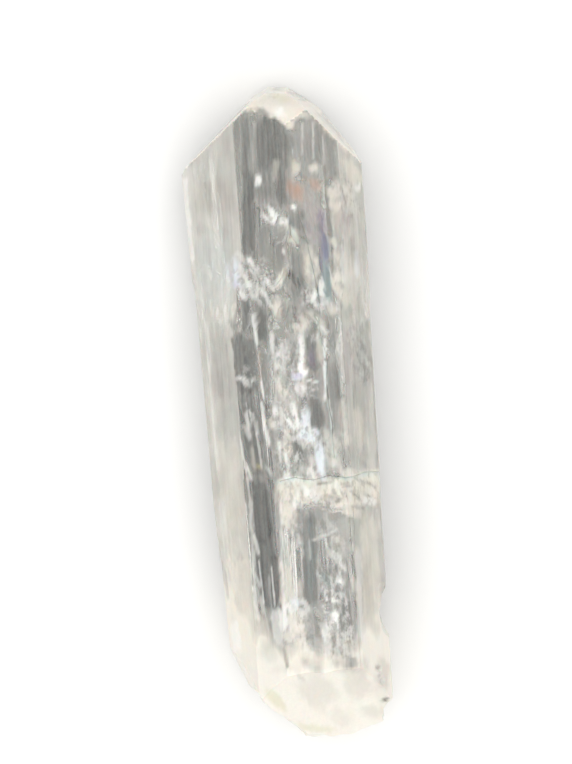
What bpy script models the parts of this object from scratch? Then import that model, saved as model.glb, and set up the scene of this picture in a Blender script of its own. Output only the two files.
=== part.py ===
# One loose danburite crystal, lying on its broad back face with its wedge tip towards +Y.
# The crystal's c axis runs along Y, its a axis along X and its b axis along Z.
# The faces of the prism stand at danburite's own angles. Each face keeps its own distance
# from the axis, which changes along the length in small growth ledges, and its grooves run
# along c. The tip is a dome, worn at its ridge, and the other end is a broken, chipped base.
# Two cracks run in from the front: a long one down its middle and a short one across it.

import math
import random
from collections import namedtuple

import bmesh
import bpy
from mathutils import Vector

MM = 0.001

# Unit cell of danburite in angstroms, which sets the angles of its prism faces
CELL_A = 8.04
CELL_B = 8.75

# The prism is built longer than the crystal, and the tip and the base are then cut from it
STOCK_TOP = 29.5
STOCK_BOTTOM = -30.0

# Where the section is drawn, from the base to the tip, in mm along Y.
# Close pairs are growth ledges, the rest only follow the slow taper.
STATIONS = [-26.5, -23.0, -19.5, -16.0, -12.4, -11.6, -9.0, -7.2, -6.4, -3.0, 0.5, 4.6, 5.4,
            8.6, 9.4, 11.8, 12.6, 15.4, 16.4, 19.5, 22.5, 25.5]

# How far a growth ledge wanders along Y, in mm
LEDGE_WANDER = 0.18

# Prism faces in order around the section, from the back left over the front to the back right.
# Each has its indices h and k along a and b, its number of grooves, and its distance in mm from
# the line along the middle of the resting face, at places along Y.
PrismFace = namedtuple("PrismFace", "h k grooves distances")
PRISM_FACES = [
    # back left
    PrismFace(-1, -1, 3, [(-30.0, 2.45), (8.6, 2.70), (9.4, 2.95), (15.4, 3.20),
                          (16.4, 3.36), (30.0, 3.42)]),
    # left side
    PrismFace(-1, 0, 2, [(-21.0, 6.56), (-12.4, 6.78), (-11.6, 6.90), (-7.2, 7.10),
                         (9.4, 7.26), (11.8, 7.34), (12.6, 7.50), (21.0, 7.72)]),
    # front left, outer and inner
    PrismFace(-1, 1, 9, [(5.4, 8.94), (8.6, 8.88), (9.4, 8.74), (11.8, 8.68),
                         (12.6, 8.50), (15.4, 8.43)]),
    PrismFace(-1, 2, 7, [(-30.0, 9.54), (-7.2, 9.58), (25.0, 9.60)]),
    # middle of the front, which narrows to an edge towards the tip
    PrismFace(0, 1, 9, [(-30.0, 9.90), (-7.2, 9.98), (-6.4, 10.05), (4.6, 10.10),
                        (5.4, 10.34), (8.6, 10.40), (9.4, 10.72), (11.8, 10.80),
                        (12.6, 11.16), (15.4, 11.26), (16.4, 11.64), (30.0, 11.66)]),
    # front right, inner and outer
    PrismFace(1, 2, 8, [(-30.0, 10.88), (-7.2, 10.92), (10.0, 10.96)]),
    PrismFace(1, 1, 6, [(-12.4, 10.16), (-6.4, 10.24), (8.6, 10.34), (9.4, 10.48),
                        (16.4, 10.60)]),
    # right side
    PrismFace(1, 0, 5, [(-24.0, 7.02), (-12.4, 7.16), (-7.2, 7.22), (-6.4, 7.30),
                        (0.5, 7.40), (8.6, 7.50), (9.4, 7.58), (15.4, 7.72)]),
    # back right, outer and inner
    PrismFace(1, -1, 5, [(-30.0, 2.20), (30.0, 2.30)]),
    PrismFace(1, -2, 3, [(-30.0, 0.84), (30.0, 0.88)]),
    # middle of the back, the smooth face that the crystal rests on
    PrismFace(0, -1, 0, [(-30.0, 0.0), (30.0, 0.0)]),
    # back left, inner
    PrismFace(-1, -2, 4, [(-30.0, 0.80), (30.0, 0.80)]),
]

# Grooves along the prism faces, in mm: a gentle slope down to the groove's foot and a short
# riser back up. A groove needs room across its face for its full depth.
GROOVE_DEPTH = (0.05, 0.14)
GROOVE_LENGTH = (9.0, 46.0)
GROOVE_FADE = 2.4
GROOVE_RISER = 0.22
GROOVE_ROOM = 0.5
# As shares of the full depth or of a groove's own strip of the face
GROOVE_LEAST = 0.25
GROOVE_FOOT = 0.45
GROOVE_SCATTER = 0.25

# Faces of the tip: a point x, y, z on the face in mm, and how far the face rises along Y for
# each mm of X and of Z
TIP_FACES = {
    "left_dome": ((-2.46, 25.71, 0.0), (0.884, 0.0)),
    "left_shoulder": ((-7.36, 21.38, 0.0), (1.72, 0.0)),
    "right_dome": ((7.06, 22.12, 1.3), (-1.235, -0.05)),
    "right_upper_dome": ((3.80, 25.92, 0.0), (-0.746, 0.0)),
    "right_shoulder": ((7.64, 20.92, 0.0), (-1.94, 0.0)),
    "front": ((0.0, 24.91, 11.70), (0.0, -1.04)),
    "back": ((0.0, 25.90, 0.0), (0.0, 1.04)),
    "worn_ridge": ((0.72, 27.54, 0.0), (-0.09, 0.0)),
    "worn_ridge_left": ((-0.43, 27.29, 0.0), (0.536, 0.0)),
}

# Breaks, each a scallop of a large ball: a point on the break in mm, the way the break faces,
# the ball's radius in mm, how many times taller than wide it is, and how finely it is made
BREAKS = {
    "base_front": ((0.8, -25.0, 7.5), (0.05, -0.62, 0.78), 60.0, 1.0, 5),
    "base_left_upper": ((-5.75, -21.95, 4.6), (-0.86, -0.46, 0.20), 30.0, 1.0, 5),
    "base_left_lower": ((-3.05, -25.70, 4.6), (-0.69, -0.71, 0.12), 40.0, 1.0, 5),
    "base_end": ((2.0, -28.20, 4.6), (0.0, -1.0, 0.02), 60.0, 1.0, 5),
    "base_back": ((0.5, -26.6, 2.1), (-0.05, -0.72, -0.69), 26.0, 1.0, 5),
    "base_right": ((4.6, -27.60, 4.6), (0.39, -0.92, 0.0), 30.0, 1.0, 5),
    "corner_chip": ((5.96, -26.7, 5.0), (1.0, 0.0, 0.05), 1.94, 3.0, 4),
    "side_notch": ((6.30, -17.8, 5.2), (1.0, 0.0, 0.10), 3.6, 2.5, 4),
    "side_notch_lip": ((6.50, -16.2, 7.6), (0.80, 0.20, 0.56), 1.6, 1.0, 3),
    "pit_upper": ((6.05, -22.3, 8.20), (0.62, -0.20, 0.76), 0.42, 1.0, 3),
    "pit_lower": ((6.15, -23.3, 7.95), (0.62, -0.25, 0.74), 0.36, 1.0, 3),
}

# Open cracks: where the mouth of each one runs over the front as (x, y) in mm, how deep the
# crack goes below each of these places, and how far it leads along X and Y for each mm of depth
Crack = namedtuple("Crack", "mouth depths slope")
CRACKS = {
    "long_crack": Crack([(2.2, 17.3), (2.7, 15.4), (3.1, 13.0), (3.4, 10.2), (3.3, 7.0),
                         (3.6, 4.0), (3.5, 1.0), (3.7, -1.6), (3.6, -3.8)],
                        [0.6, 1.6, 2.2, 2.6, 2.7, 3.0, 3.1, 2.4, 1.0], (-1.15, 0.0)),
    "cross_crack": Crack([(-1.1, -5.5), (0.2, -5.2), (1.7, -5.5), (3.2, -5.3), (4.6, -5.6),
                          (6.0, -5.3), (7.7, -5.5)],
                         [0.8, 2.2, 2.5, 2.7, 2.4, 2.2, 2.0], (0.0, -1.2)),
}
# Width of a crack at its mouth, and how far its cutter stands out of the face, in mm
CRACK_GAPE = 0.08
CRACK_STANDOFF = 0.6

# Vertices nearer than this to a cut, in metres, are taken as lying on it
CUT_TOLERANCE = 1e-7

BODY_COLOUR = (0.93, 0.92, 0.89, 1.0)
BODY_ROUGHNESS = 0.06
DANBURITE_IOR = 1.633

rng = random.Random(110)


def clear_scene():
    for leftover in list(bpy.data.objects):
        bpy.data.objects.remove(leftover, do_unlink=True)


def new_collection(name):
    collection = bpy.data.collections.new(name)
    bpy.context.scene.collection.children.link(collection)
    return collection


def along(places, y):
    """Value at y of a list of (place, value) pairs, straight between places."""
    if y <= places[0][0]:
        return places[0][1]
    for (y0, value0), (y1, value1) in zip(places, places[1:]):
        if y <= y1:
            return value0 + (value1 - value0) * (y - y0) / (y1 - y0)
    return places[-1][1]


def face_angle(h, k):
    """Angle from the b axis towards the a axis of the normal of prism face (h k 0)."""
    return math.atan2(h / CELL_A, k / CELL_B)


def corner(face, next_face, y):
    """Where two neighbouring prism faces meet in the section at y."""
    angle = face_angle(face.h, face.k)
    next_angle = face_angle(next_face.h, next_face.k)
    distance = along(face.distances, y)
    next_distance = along(next_face.distances, y)
    turn = math.sin(next_angle - angle)
    x = (next_distance * math.cos(angle) - distance * math.cos(next_angle)) / turn
    z = (distance * math.sin(next_angle) - next_distance * math.sin(angle)) / turn
    return Vector((x, 0.0, z))


def face_grooves(count):
    """Place across the face, depth, start and end along Y of each groove of one face."""
    grooves = []
    for number in range(count):
        scatter = rng.uniform(-GROOVE_SCATTER, GROOVE_SCATTER)
        place = (number + GROOVE_FOOT + scatter) / count
        length = rng.uniform(*GROOVE_LENGTH)
        start = rng.uniform(STOCK_BOTTOM, STOCK_TOP - length)
        grooves.append((place, rng.uniform(*GROOVE_DEPTH), start, start + length))
    return grooves


def groove_strength(y, start, end):
    """One along a groove, fading to its least depth at the two ends."""
    rise = (y - start) / GROOVE_FADE
    fall = (end - y) / GROOVE_FADE
    return max(GROOVE_LEAST, min(1.0, rise, fall))


def face_outline(face, start, end, grooves, y):
    """One face of the section at y, from its first corner up to the next face."""
    angle = face_angle(face.h, face.k)
    inward = Vector((-math.sin(angle), 0.0, -math.cos(angle)))
    width = (end - start).length
    strip = width / max(1, face.grooves)
    riser = min(GROOVE_RISER, strip * GROOVE_SCATTER) / width
    room = min(1.0, strip / GROOVE_ROOM)
    points = [start]
    for place, depth, groove_start, groove_end in grooves:
        strength = room * groove_strength(y, groove_start, groove_end)
        points.append(start.lerp(end, place) + inward * depth * strength)
        points.append(start.lerp(end, place + riser))
    return points


def section(y, grooves):
    """Outline of the crystal at y: saw-toothed faces between sharp corners."""
    points = []
    faces_before = PRISM_FACES[-1:] + PRISM_FACES[:-1]
    faces_after = PRISM_FACES[1:] + PRISM_FACES[:1]
    for before, face, after, face_lines in zip(faces_before, PRISM_FACES, faces_after, grooves):
        start = corner(before, face, y)
        end = corner(face, after, y)
        points += face_outline(face, start, end, face_lines, y)
    return [Vector((point.x, y, point.z)) for point in points]


def build_prism(mesh):
    """Loft of the sections from base to tip, closed with a flat end at each side."""
    grooves = [face_grooves(face.grooves) for face in PRISM_FACES]
    places = [STOCK_BOTTOM] + STATIONS + [STOCK_TOP]
    rings = []
    for place in places:
        ring = section(place, grooves)
        if place in STATIONS:
            for point in ring:
                point.y += rng.uniform(-LEDGE_WANDER, LEDGE_WANDER)
        rings.append([mesh.verts.new(point * MM) for point in ring])
    for lower, upper in zip(rings, rings[1:]):
        for index in range(len(lower)):
            following = (index + 1) % len(lower)
            mesh.faces.new((lower[index], lower[following], upper[following], upper[index]))
    mesh.faces.new(rings[0][::-1])
    mesh.faces.new(rings[-1])
    bmesh.ops.recalc_face_normals(mesh, faces=mesh.faces)


def cut_tip(mesh):
    """Cut the faces of the tip, each a plane, and close the crystal after each cut."""
    for point, (slope_x, slope_z) in TIP_FACES.values():
        normal = Vector((-slope_x, 1.0, -slope_z)).normalized()
        everything = mesh.verts[:] + mesh.edges[:] + mesh.faces[:]
        cut = bmesh.ops.bisect_plane(mesh, geom=everything, plane_co=Vector(point) * MM,
                                     plane_no=normal, clear_outer=True, dist=CUT_TOLERANCE)
        rim = [item for item in cut["geom_cut"] if isinstance(item, bmesh.types.BMEdge)]
        bmesh.ops.edgenet_fill(mesh, edges=rim)
    bmesh.ops.recalc_face_normals(mesh, faces=mesh.faces)


def danburite_material():
    material = bpy.data.materials.new("clear_danburite")
    material.use_nodes = True
    shader = material.node_tree.nodes["Principled BSDF"]
    shader.inputs["Base Color"].default_value = BODY_COLOUR
    shader.inputs["Roughness"].default_value = BODY_ROUGHNESS
    shader.inputs["Metallic"].default_value = 0.0
    shader.inputs["IOR"].default_value = DANBURITE_IOR
    shader.inputs["Transmission Weight"].default_value = 1.0
    return material


def build_crystal(collection):
    mesh = bmesh.new()
    build_prism(mesh)
    cut_tip(mesh)
    bmesh.ops.triangulate(mesh, faces=mesh.faces)
    data = bpy.data.meshes.new("danburite_crystal")
    mesh.to_mesh(data)
    mesh.free()
    crystal = bpy.data.objects.new("danburite_crystal", data)
    crystal.data.materials.append(danburite_material())
    collection.objects.link(crystal)
    return crystal


def take_out(crystal, cutters, name, cutter, solver="EXACT"):
    """Subtract a cutter from the crystal, and keep it out of sight with the other cutters."""
    cutter.name = "cut_" + name
    cutter.hide_render = True
    cutter.display_type = "WIRE"
    for collection in list(cutter.users_collection):
        collection.objects.unlink(cutter)
    cutters.objects.link(cutter)
    cutter.parent = crystal
    cut = crystal.modifiers.new(name, "BOOLEAN")
    cut.operation = "DIFFERENCE"
    cut.solver = solver
    cut.object = cutter


def break_off(crystal, cutters):
    """Take each scallop out of the crystal with a ball that touches the break's point."""
    for name, (point, facing, radius, height, fineness) in BREAKS.items():
        centre = Vector(point) + Vector(facing).normalized() * radius
        bpy.ops.mesh.primitive_ico_sphere_add(subdivisions=fineness, radius=radius * MM,
                                              location=centre * MM)
        ball = bpy.context.object
        ball.scale.z = height
        take_out(crystal, cutters, name, ball)


def front_height(x, y):
    """Height at x and y of the lowest of the planes of the front faces."""
    heights = []
    for face in PRISM_FACES:
        angle = face_angle(face.h, face.k)
        if face.k > 0:
            heights.append((along(face.distances, y) - x * math.sin(angle)) / math.cos(angle))
    return min(heights)


def crack_wedge(crack):
    """Wedge that is as wide as the crack's mouth above the face and closes at its foot."""
    mesh = bmesh.new()
    course = (Vector(crack.mouth[-1]) - Vector(crack.mouth[0])).to_3d().normalized()
    down = Vector((*crack.slope, -1.0))
    across = down.cross(course).normalized() * (CRACK_GAPE / 2)
    rings = []
    for (x, y), depth in zip(crack.mouth, crack.depths):
        mouth = Vector((x, y, front_height(x, y)))
        top = mouth - down * CRACK_STANDOFF
        foot = mouth + down * depth
        rings.append([mesh.verts.new(point * MM) for point in (top - across, top + across, foot)])
    for ring, following in zip(rings, rings[1:]):
        for index in range(len(ring)):
            after = (index + 1) % len(ring)
            mesh.faces.new((ring[index], ring[after], following[after], following[index]))
    mesh.faces.new(rings[0][::-1])
    mesh.faces.new(rings[-1])
    bmesh.ops.triangulate(mesh, faces=mesh.faces)
    bmesh.ops.recalc_face_normals(mesh, faces=mesh.faces)
    data = bpy.data.meshes.new("crack_wedge")
    mesh.to_mesh(data)
    mesh.free()
    return bpy.data.objects.new("crack_wedge", data)


def crack_open(crystal, cutters):
    """Cut each crack down from the front with its wedge, too thin for the exact solver."""
    for name, crack in CRACKS.items():
        take_out(crystal, cutters, name, crack_wedge(crack), "MANIFOLD")


def stand_on_origin(crystal):
    """Move the crystal so that the middle of its resting side is the origin."""
    bpy.context.view_layer.update()
    finished = crystal.evaluated_get(bpy.context.evaluated_depsgraph_get())
    box = [Vector(place) for place in finished.bound_box]
    low = Vector([min(place[axis] for place in box) for axis in range(3)])
    high = Vector([max(place[axis] for place in box) for axis in range(3)])
    crystal.location = (-(low.x + high.x) / 2, -(low.y + high.y) / 2, -low.z)


def main():
    clear_scene()
    parts = new_collection("danburite")
    cutters = new_collection("danburite_cutters")
    crystal = build_crystal(parts)
    break_off(crystal, cutters)
    crack_open(crystal, cutters)
    stand_on_origin(crystal)


main()
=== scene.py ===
# A loose clear danburite crystal on a pale floor: its finely grooved faces, worn wedge tip and
# milky broken base, with the cracks, veils and growth lines inside it.
import math
from collections import namedtuple

import bmesh
import bpy
import numpy as np
from mathutils import Matrix, Vector


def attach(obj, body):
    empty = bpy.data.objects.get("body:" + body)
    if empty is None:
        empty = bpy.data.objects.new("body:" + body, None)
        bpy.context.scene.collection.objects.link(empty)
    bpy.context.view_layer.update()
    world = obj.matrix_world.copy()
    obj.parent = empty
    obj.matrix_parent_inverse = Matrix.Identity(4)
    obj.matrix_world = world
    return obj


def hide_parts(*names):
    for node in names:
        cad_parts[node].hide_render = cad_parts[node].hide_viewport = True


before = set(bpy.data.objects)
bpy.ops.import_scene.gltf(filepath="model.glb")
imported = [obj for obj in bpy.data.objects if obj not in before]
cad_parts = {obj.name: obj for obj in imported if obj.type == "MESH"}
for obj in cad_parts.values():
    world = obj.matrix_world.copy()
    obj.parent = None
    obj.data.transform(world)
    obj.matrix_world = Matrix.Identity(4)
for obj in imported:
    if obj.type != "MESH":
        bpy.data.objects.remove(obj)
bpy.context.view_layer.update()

mm = 0.001


# Helpers for materials

class Wire:
    # A node's output in Python sums: each operator adds the Math node that it stands for
    def __init__(self, nodes, socket):
        self.nodes = nodes
        self.socket = socket

    def maths(self, operation, first, second):
        return self.nodes.add("ShaderNodeMath", {"operation": operation}, {0: first, 1: second})

    def __add__(self, other):
        return self.maths("ADD", self, other)

    def __sub__(self, other):
        return self.maths("SUBTRACT", self, other)

    def __rsub__(self, other):
        return self.maths("SUBTRACT", other, self)

    def __mul__(self, other):
        return self.maths("MULTIPLY", self, other)

    __radd__ = __add__
    __rmul__ = __mul__

    def atMost(self, other):
        return self.maths("MINIMUM", self, other)

    def atLeast(self, other):
        return self.maths("MAXIMUM", self, other)

    def step(self, low, high, bottom=0.0, top=1.0):
        # Smooth rise from bottom to top as this goes from low to high
        settings = {"interpolation_type": "SMOOTHSTEP"}
        return self.nodes.add("ShaderNodeMapRange", settings,
                              {0: self, 1: low, 2: high, 3: bottom, 4: top})


class Nodes:
    # The node tree of one material or world, emptied first
    def __init__(self, holder):
        holder.use_nodes = True
        self.tree = holder.node_tree
        self.tree.nodes.clear()

    def add(self, kind, settings=None, inputs=None, output=0):
        node = self.tree.nodes.new(kind)
        for name, value in (settings or {}).items():
            if name == "stops":
                self.setStops(node.color_ramp.elements, value)
            else:
                setattr(node, name, value)
        for name, value in (inputs or {}).items():
            if isinstance(value, Wire):
                self.tree.links.new(value.socket, node.inputs[name])
            else:
                node.inputs[name].default_value = value
        return Wire(self, node.outputs[output]) if node.outputs else node

    def setStops(self, elements, stops):
        while len(elements) < len(stops):
            elements.new(0.5)
        for element, (place, shade) in zip(elements, stops):
            element.position = place
            element.color = colour(*shade)

    def place(self):
        # Where a point is on the object, in metres
        return self.add("ShaderNodeTexCoord", output="Object")

    def apart(self, vector):
        split = self.add("ShaderNodeSeparateXYZ", None, {0: vector}).socket.node
        return [Wire(self, socket) for socket in split.outputs]

    def stretch(self, vector, cells):
        # The place counted in cells of these sizes in mm, so that a noise is stretched with them
        scale = tuple(1.0 / (size * mm) for size in cells)
        return self.add("ShaderNodeVectorMath", {"operation": "MULTIPLY"}, {0: vector, 1: scale})

    def noise(self, vector, cells, detail=2.0, roughness=0.5):
        inputs = {"Vector": self.stretch(vector, cells), "Scale": 1.0,
                  "Detail": detail, "Roughness": roughness}
        return self.add("ShaderNodeTexNoise", None, inputs)

    def attribute(self, name, output="Fac"):
        return self.add("ShaderNodeAttribute", {"attribute_name": name}, None, output)

    def blend(self, share, first, second):
        return self.add("ShaderNodeMix", {"data_type": "RGBA"}, {0: share, 6: first, 7: second}, 2)

    def ramp(self, share, stops):
        return self.add("ShaderNodeValToRGB", {"stops": stops}, {0: share})

    def shader(self, inputs):
        return self.add("ShaderNodeBsdfPrincipled", None, inputs)

    def surface(self, shader, volume=None):
        inputs = {"Surface": shader}
        if volume:
            inputs["Volume"] = volume
        self.add("ShaderNodeOutputMaterial", None, inputs)


def colour(red, green, blue):
    return (red, green, blue, 1.0)


def newMaterial(name):
    material = bpy.data.materials.new(name)
    return material, Nodes(material)


# Helpers for shapes

# Each noise of the shapes and the skin: its cell sizes along u and v, where it starts in cells,
# after how many cells it repeats, and its seed
noises = {
    "ledges": ((1 / 97, 9.0), (0, 0), (97, 64), 11),            # turns round the section, mm
    "relief": ((1.0, 17.0), (0, 0), (512, 32), 23),             # strips, mm
    "fineRelief": ((1 / 3.3, 7.0), (0, 0), (1024, 64), 29),     # the same
    "lumps": ((1.0, 1.0), (40, 40), (128, 128), 31),            # cells of each size of lump
    "chips": ((0.5, 0.5), (99, 0), (256, 64), 37),              # mm, and so are the next three
    "cracks": ((1.1, 1.1), (0, 60), (128, 128), 51),
    "frost": ((1.1, 5.0), (50, 50), (128, 64), 41),
    "milk": ((0.9, 1.6), (60, 60), (128, 64), 43),
    "strokeLine": ((5.0, 16.0), (200, 200), (256, 128), 61),    # pixels, and so are the next two
    "strokeEdge": ((2.4, 6.0), (300, 300), (512, 256), 63),
    "fineStrokeEdge": ((1.3, 3.0), (300, 300), (1024, 512), 65),
    "wobble": ((0.2, 0.02), (0, 0), (512, 256), 7),             # lengths of a line, mm of depth
}


def lattice(u, v, cells, seed, creased=False):
    # Random heights from 0 to 1 at the whole numbers of the (u, v) plane, which repeats after
    # cells[0] and cells[1]: blended between them by 3t^2 - 2t^3, or along u by straight lines
    # where creased
    heights = np.random.default_rng(seed).random(cells)
    column = np.floor(u).astype(int)
    row = np.floor(v).astype(int)
    across = u - column
    along = v - row
    along = along * along * (3 - 2 * along)
    if not creased:
        across = across * across * (3 - 2 * across)
    left, right = column % cells[0], (column + 1) % cells[0]
    low, high = row % cells[1], (row + 1) % cells[1]
    near = heights[left, low] * (1 - across) + heights[right, low] * across
    far = heights[left, high] * (1 - across) + heights[right, high] * across
    return near * (1 - along) + far * along


def noise(name, u, v, shift=0, number=0, creased=False):
    # One of the noises: shift moves it along v by cells, and number takes a later seed
    (cellU, cellV), (startU, startV), repeat, seed = noises[name]
    return lattice(u / cellU + startU, v / cellV + startV + shift, repeat, seed + number, creased)


def rise(value, low, high):
    # 0 below low, 1 above high, and 3t^2 - 2t^3 between
    share = np.clip((value - low) / (high - low), 0, 1)
    return share * share * (3 - 2 * share)


def newMesh(name, points, faces):
    # A mesh from points in mm and a list of faces
    mesh = bpy.data.meshes.new(name)
    mesh.from_pydata((points * mm).tolist(), [], faces)
    return mesh


def newObject(name, data):
    made = bpy.data.objects.new(name, data)
    bpy.context.scene.collection.objects.link(made)
    return made


def setValues(mesh, name, values):
    layer = mesh.attributes.new(name, "FLOAT", "POINT")
    layer.data.foreach_set("value", np.ascontiguousarray(values, np.float32))


def gridFaces(rows, columns, closed=False):
    # Quads between neighbours of a grid of points, row by row
    numbers = np.arange(rows * columns).reshape(rows, columns)
    after = np.roll(numbers, -1, axis=1) if closed else numbers[:, 1:]
    here = numbers if closed else numbers[:, :-1]
    quads = np.stack([here[:-1], after[:-1], after[1:], here[1:]], axis=-1)
    return quads.reshape(-1, 4)


# Camera, at the photograph's angle: it looks down on the crystal, which lies on its back

view = {
    "target": (0.0, 0.0, 5.5),       # mm
    "leanRight": 2.0,                # degrees, the camera stands this far to the right
    "leanTip": 6.0,                  # degrees, and this far towards the tip
    "roll": 4.33,                    # degrees
    "distance": 600.0,               # mm
    "pixel": 0.0856,                 # mm at the target
    "targetAt": (289.97, 415.53),    # pixels of the photograph
    "photo": (572, 764),
    "sensor": 24.0,                  # mm
}


def cameraAxes():
    away = np.array([math.sin(math.radians(view["leanRight"])),
                     math.sin(math.radians(view["leanTip"])), 1.0])
    away /= np.linalg.norm(away)
    straightUp = np.array([0.0, 1.0, 0.0]) - away * away[1]
    straightUp /= np.linalg.norm(straightUp)
    sideways = np.cross(straightUp, away)
    roll = math.radians(view["roll"])
    up = straightUp * math.cos(roll) + sideways * math.sin(roll)
    return np.cross(up, away), up, away


def cameraAim():
    # The point in mm that the middle of the picture shows
    right, up, away = cameraAxes()
    width, height = view["photo"]
    across = (width / 2 - view["targetAt"][0]) * view["pixel"]
    down = (height / 2 - view["targetAt"][1]) * view["pixel"]
    return np.array(view["target"]) + right * across - up * down


def photoPixels(points):
    # Where points in mm show in the photograph, in its pixels: each is its offset from the aim
    # over its distance from the camera
    right, up, away = cameraAxes()
    offset = points - cameraAim()
    enlarged = view["distance"] / (view["distance"] - offset @ away) / view["pixel"]
    width, height = view["photo"]
    return width / 2 + offset @ right * enlarged, height / 2 - offset @ up * enlarged


def makeCamera():
    right, up, away = cameraAxes()
    data = bpy.data.cameras.new("camera")
    data.sensor_fit = "VERTICAL"
    data.sensor_height = view["sensor"]
    data.lens = view["sensor"] * view["distance"] / (view["photo"][1] * view["pixel"])
    data.clip_start = 0.01
    camera = newObject("camera", data)
    turn = Matrix(np.column_stack([right, up, away]).tolist()).to_4x4()
    place = Vector(cameraAim() + away * view["distance"]) * mm
    camera.matrix_world = Matrix.Translation(place) @ turn
    bpy.context.scene.camera = camera


makeCamera()
print("camera made")


# The crystal itself

# Each prism face has its indices, its distance in mm from the middle of the resting face at
# places along the crystal, its columns of points, its strips of relief, how deep they are in mm,
# and its frost, as the share of the clear crystal that the skin hides
prismFace = namedtuple("prismFace", "indices distances columns strips depth frost")

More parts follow.
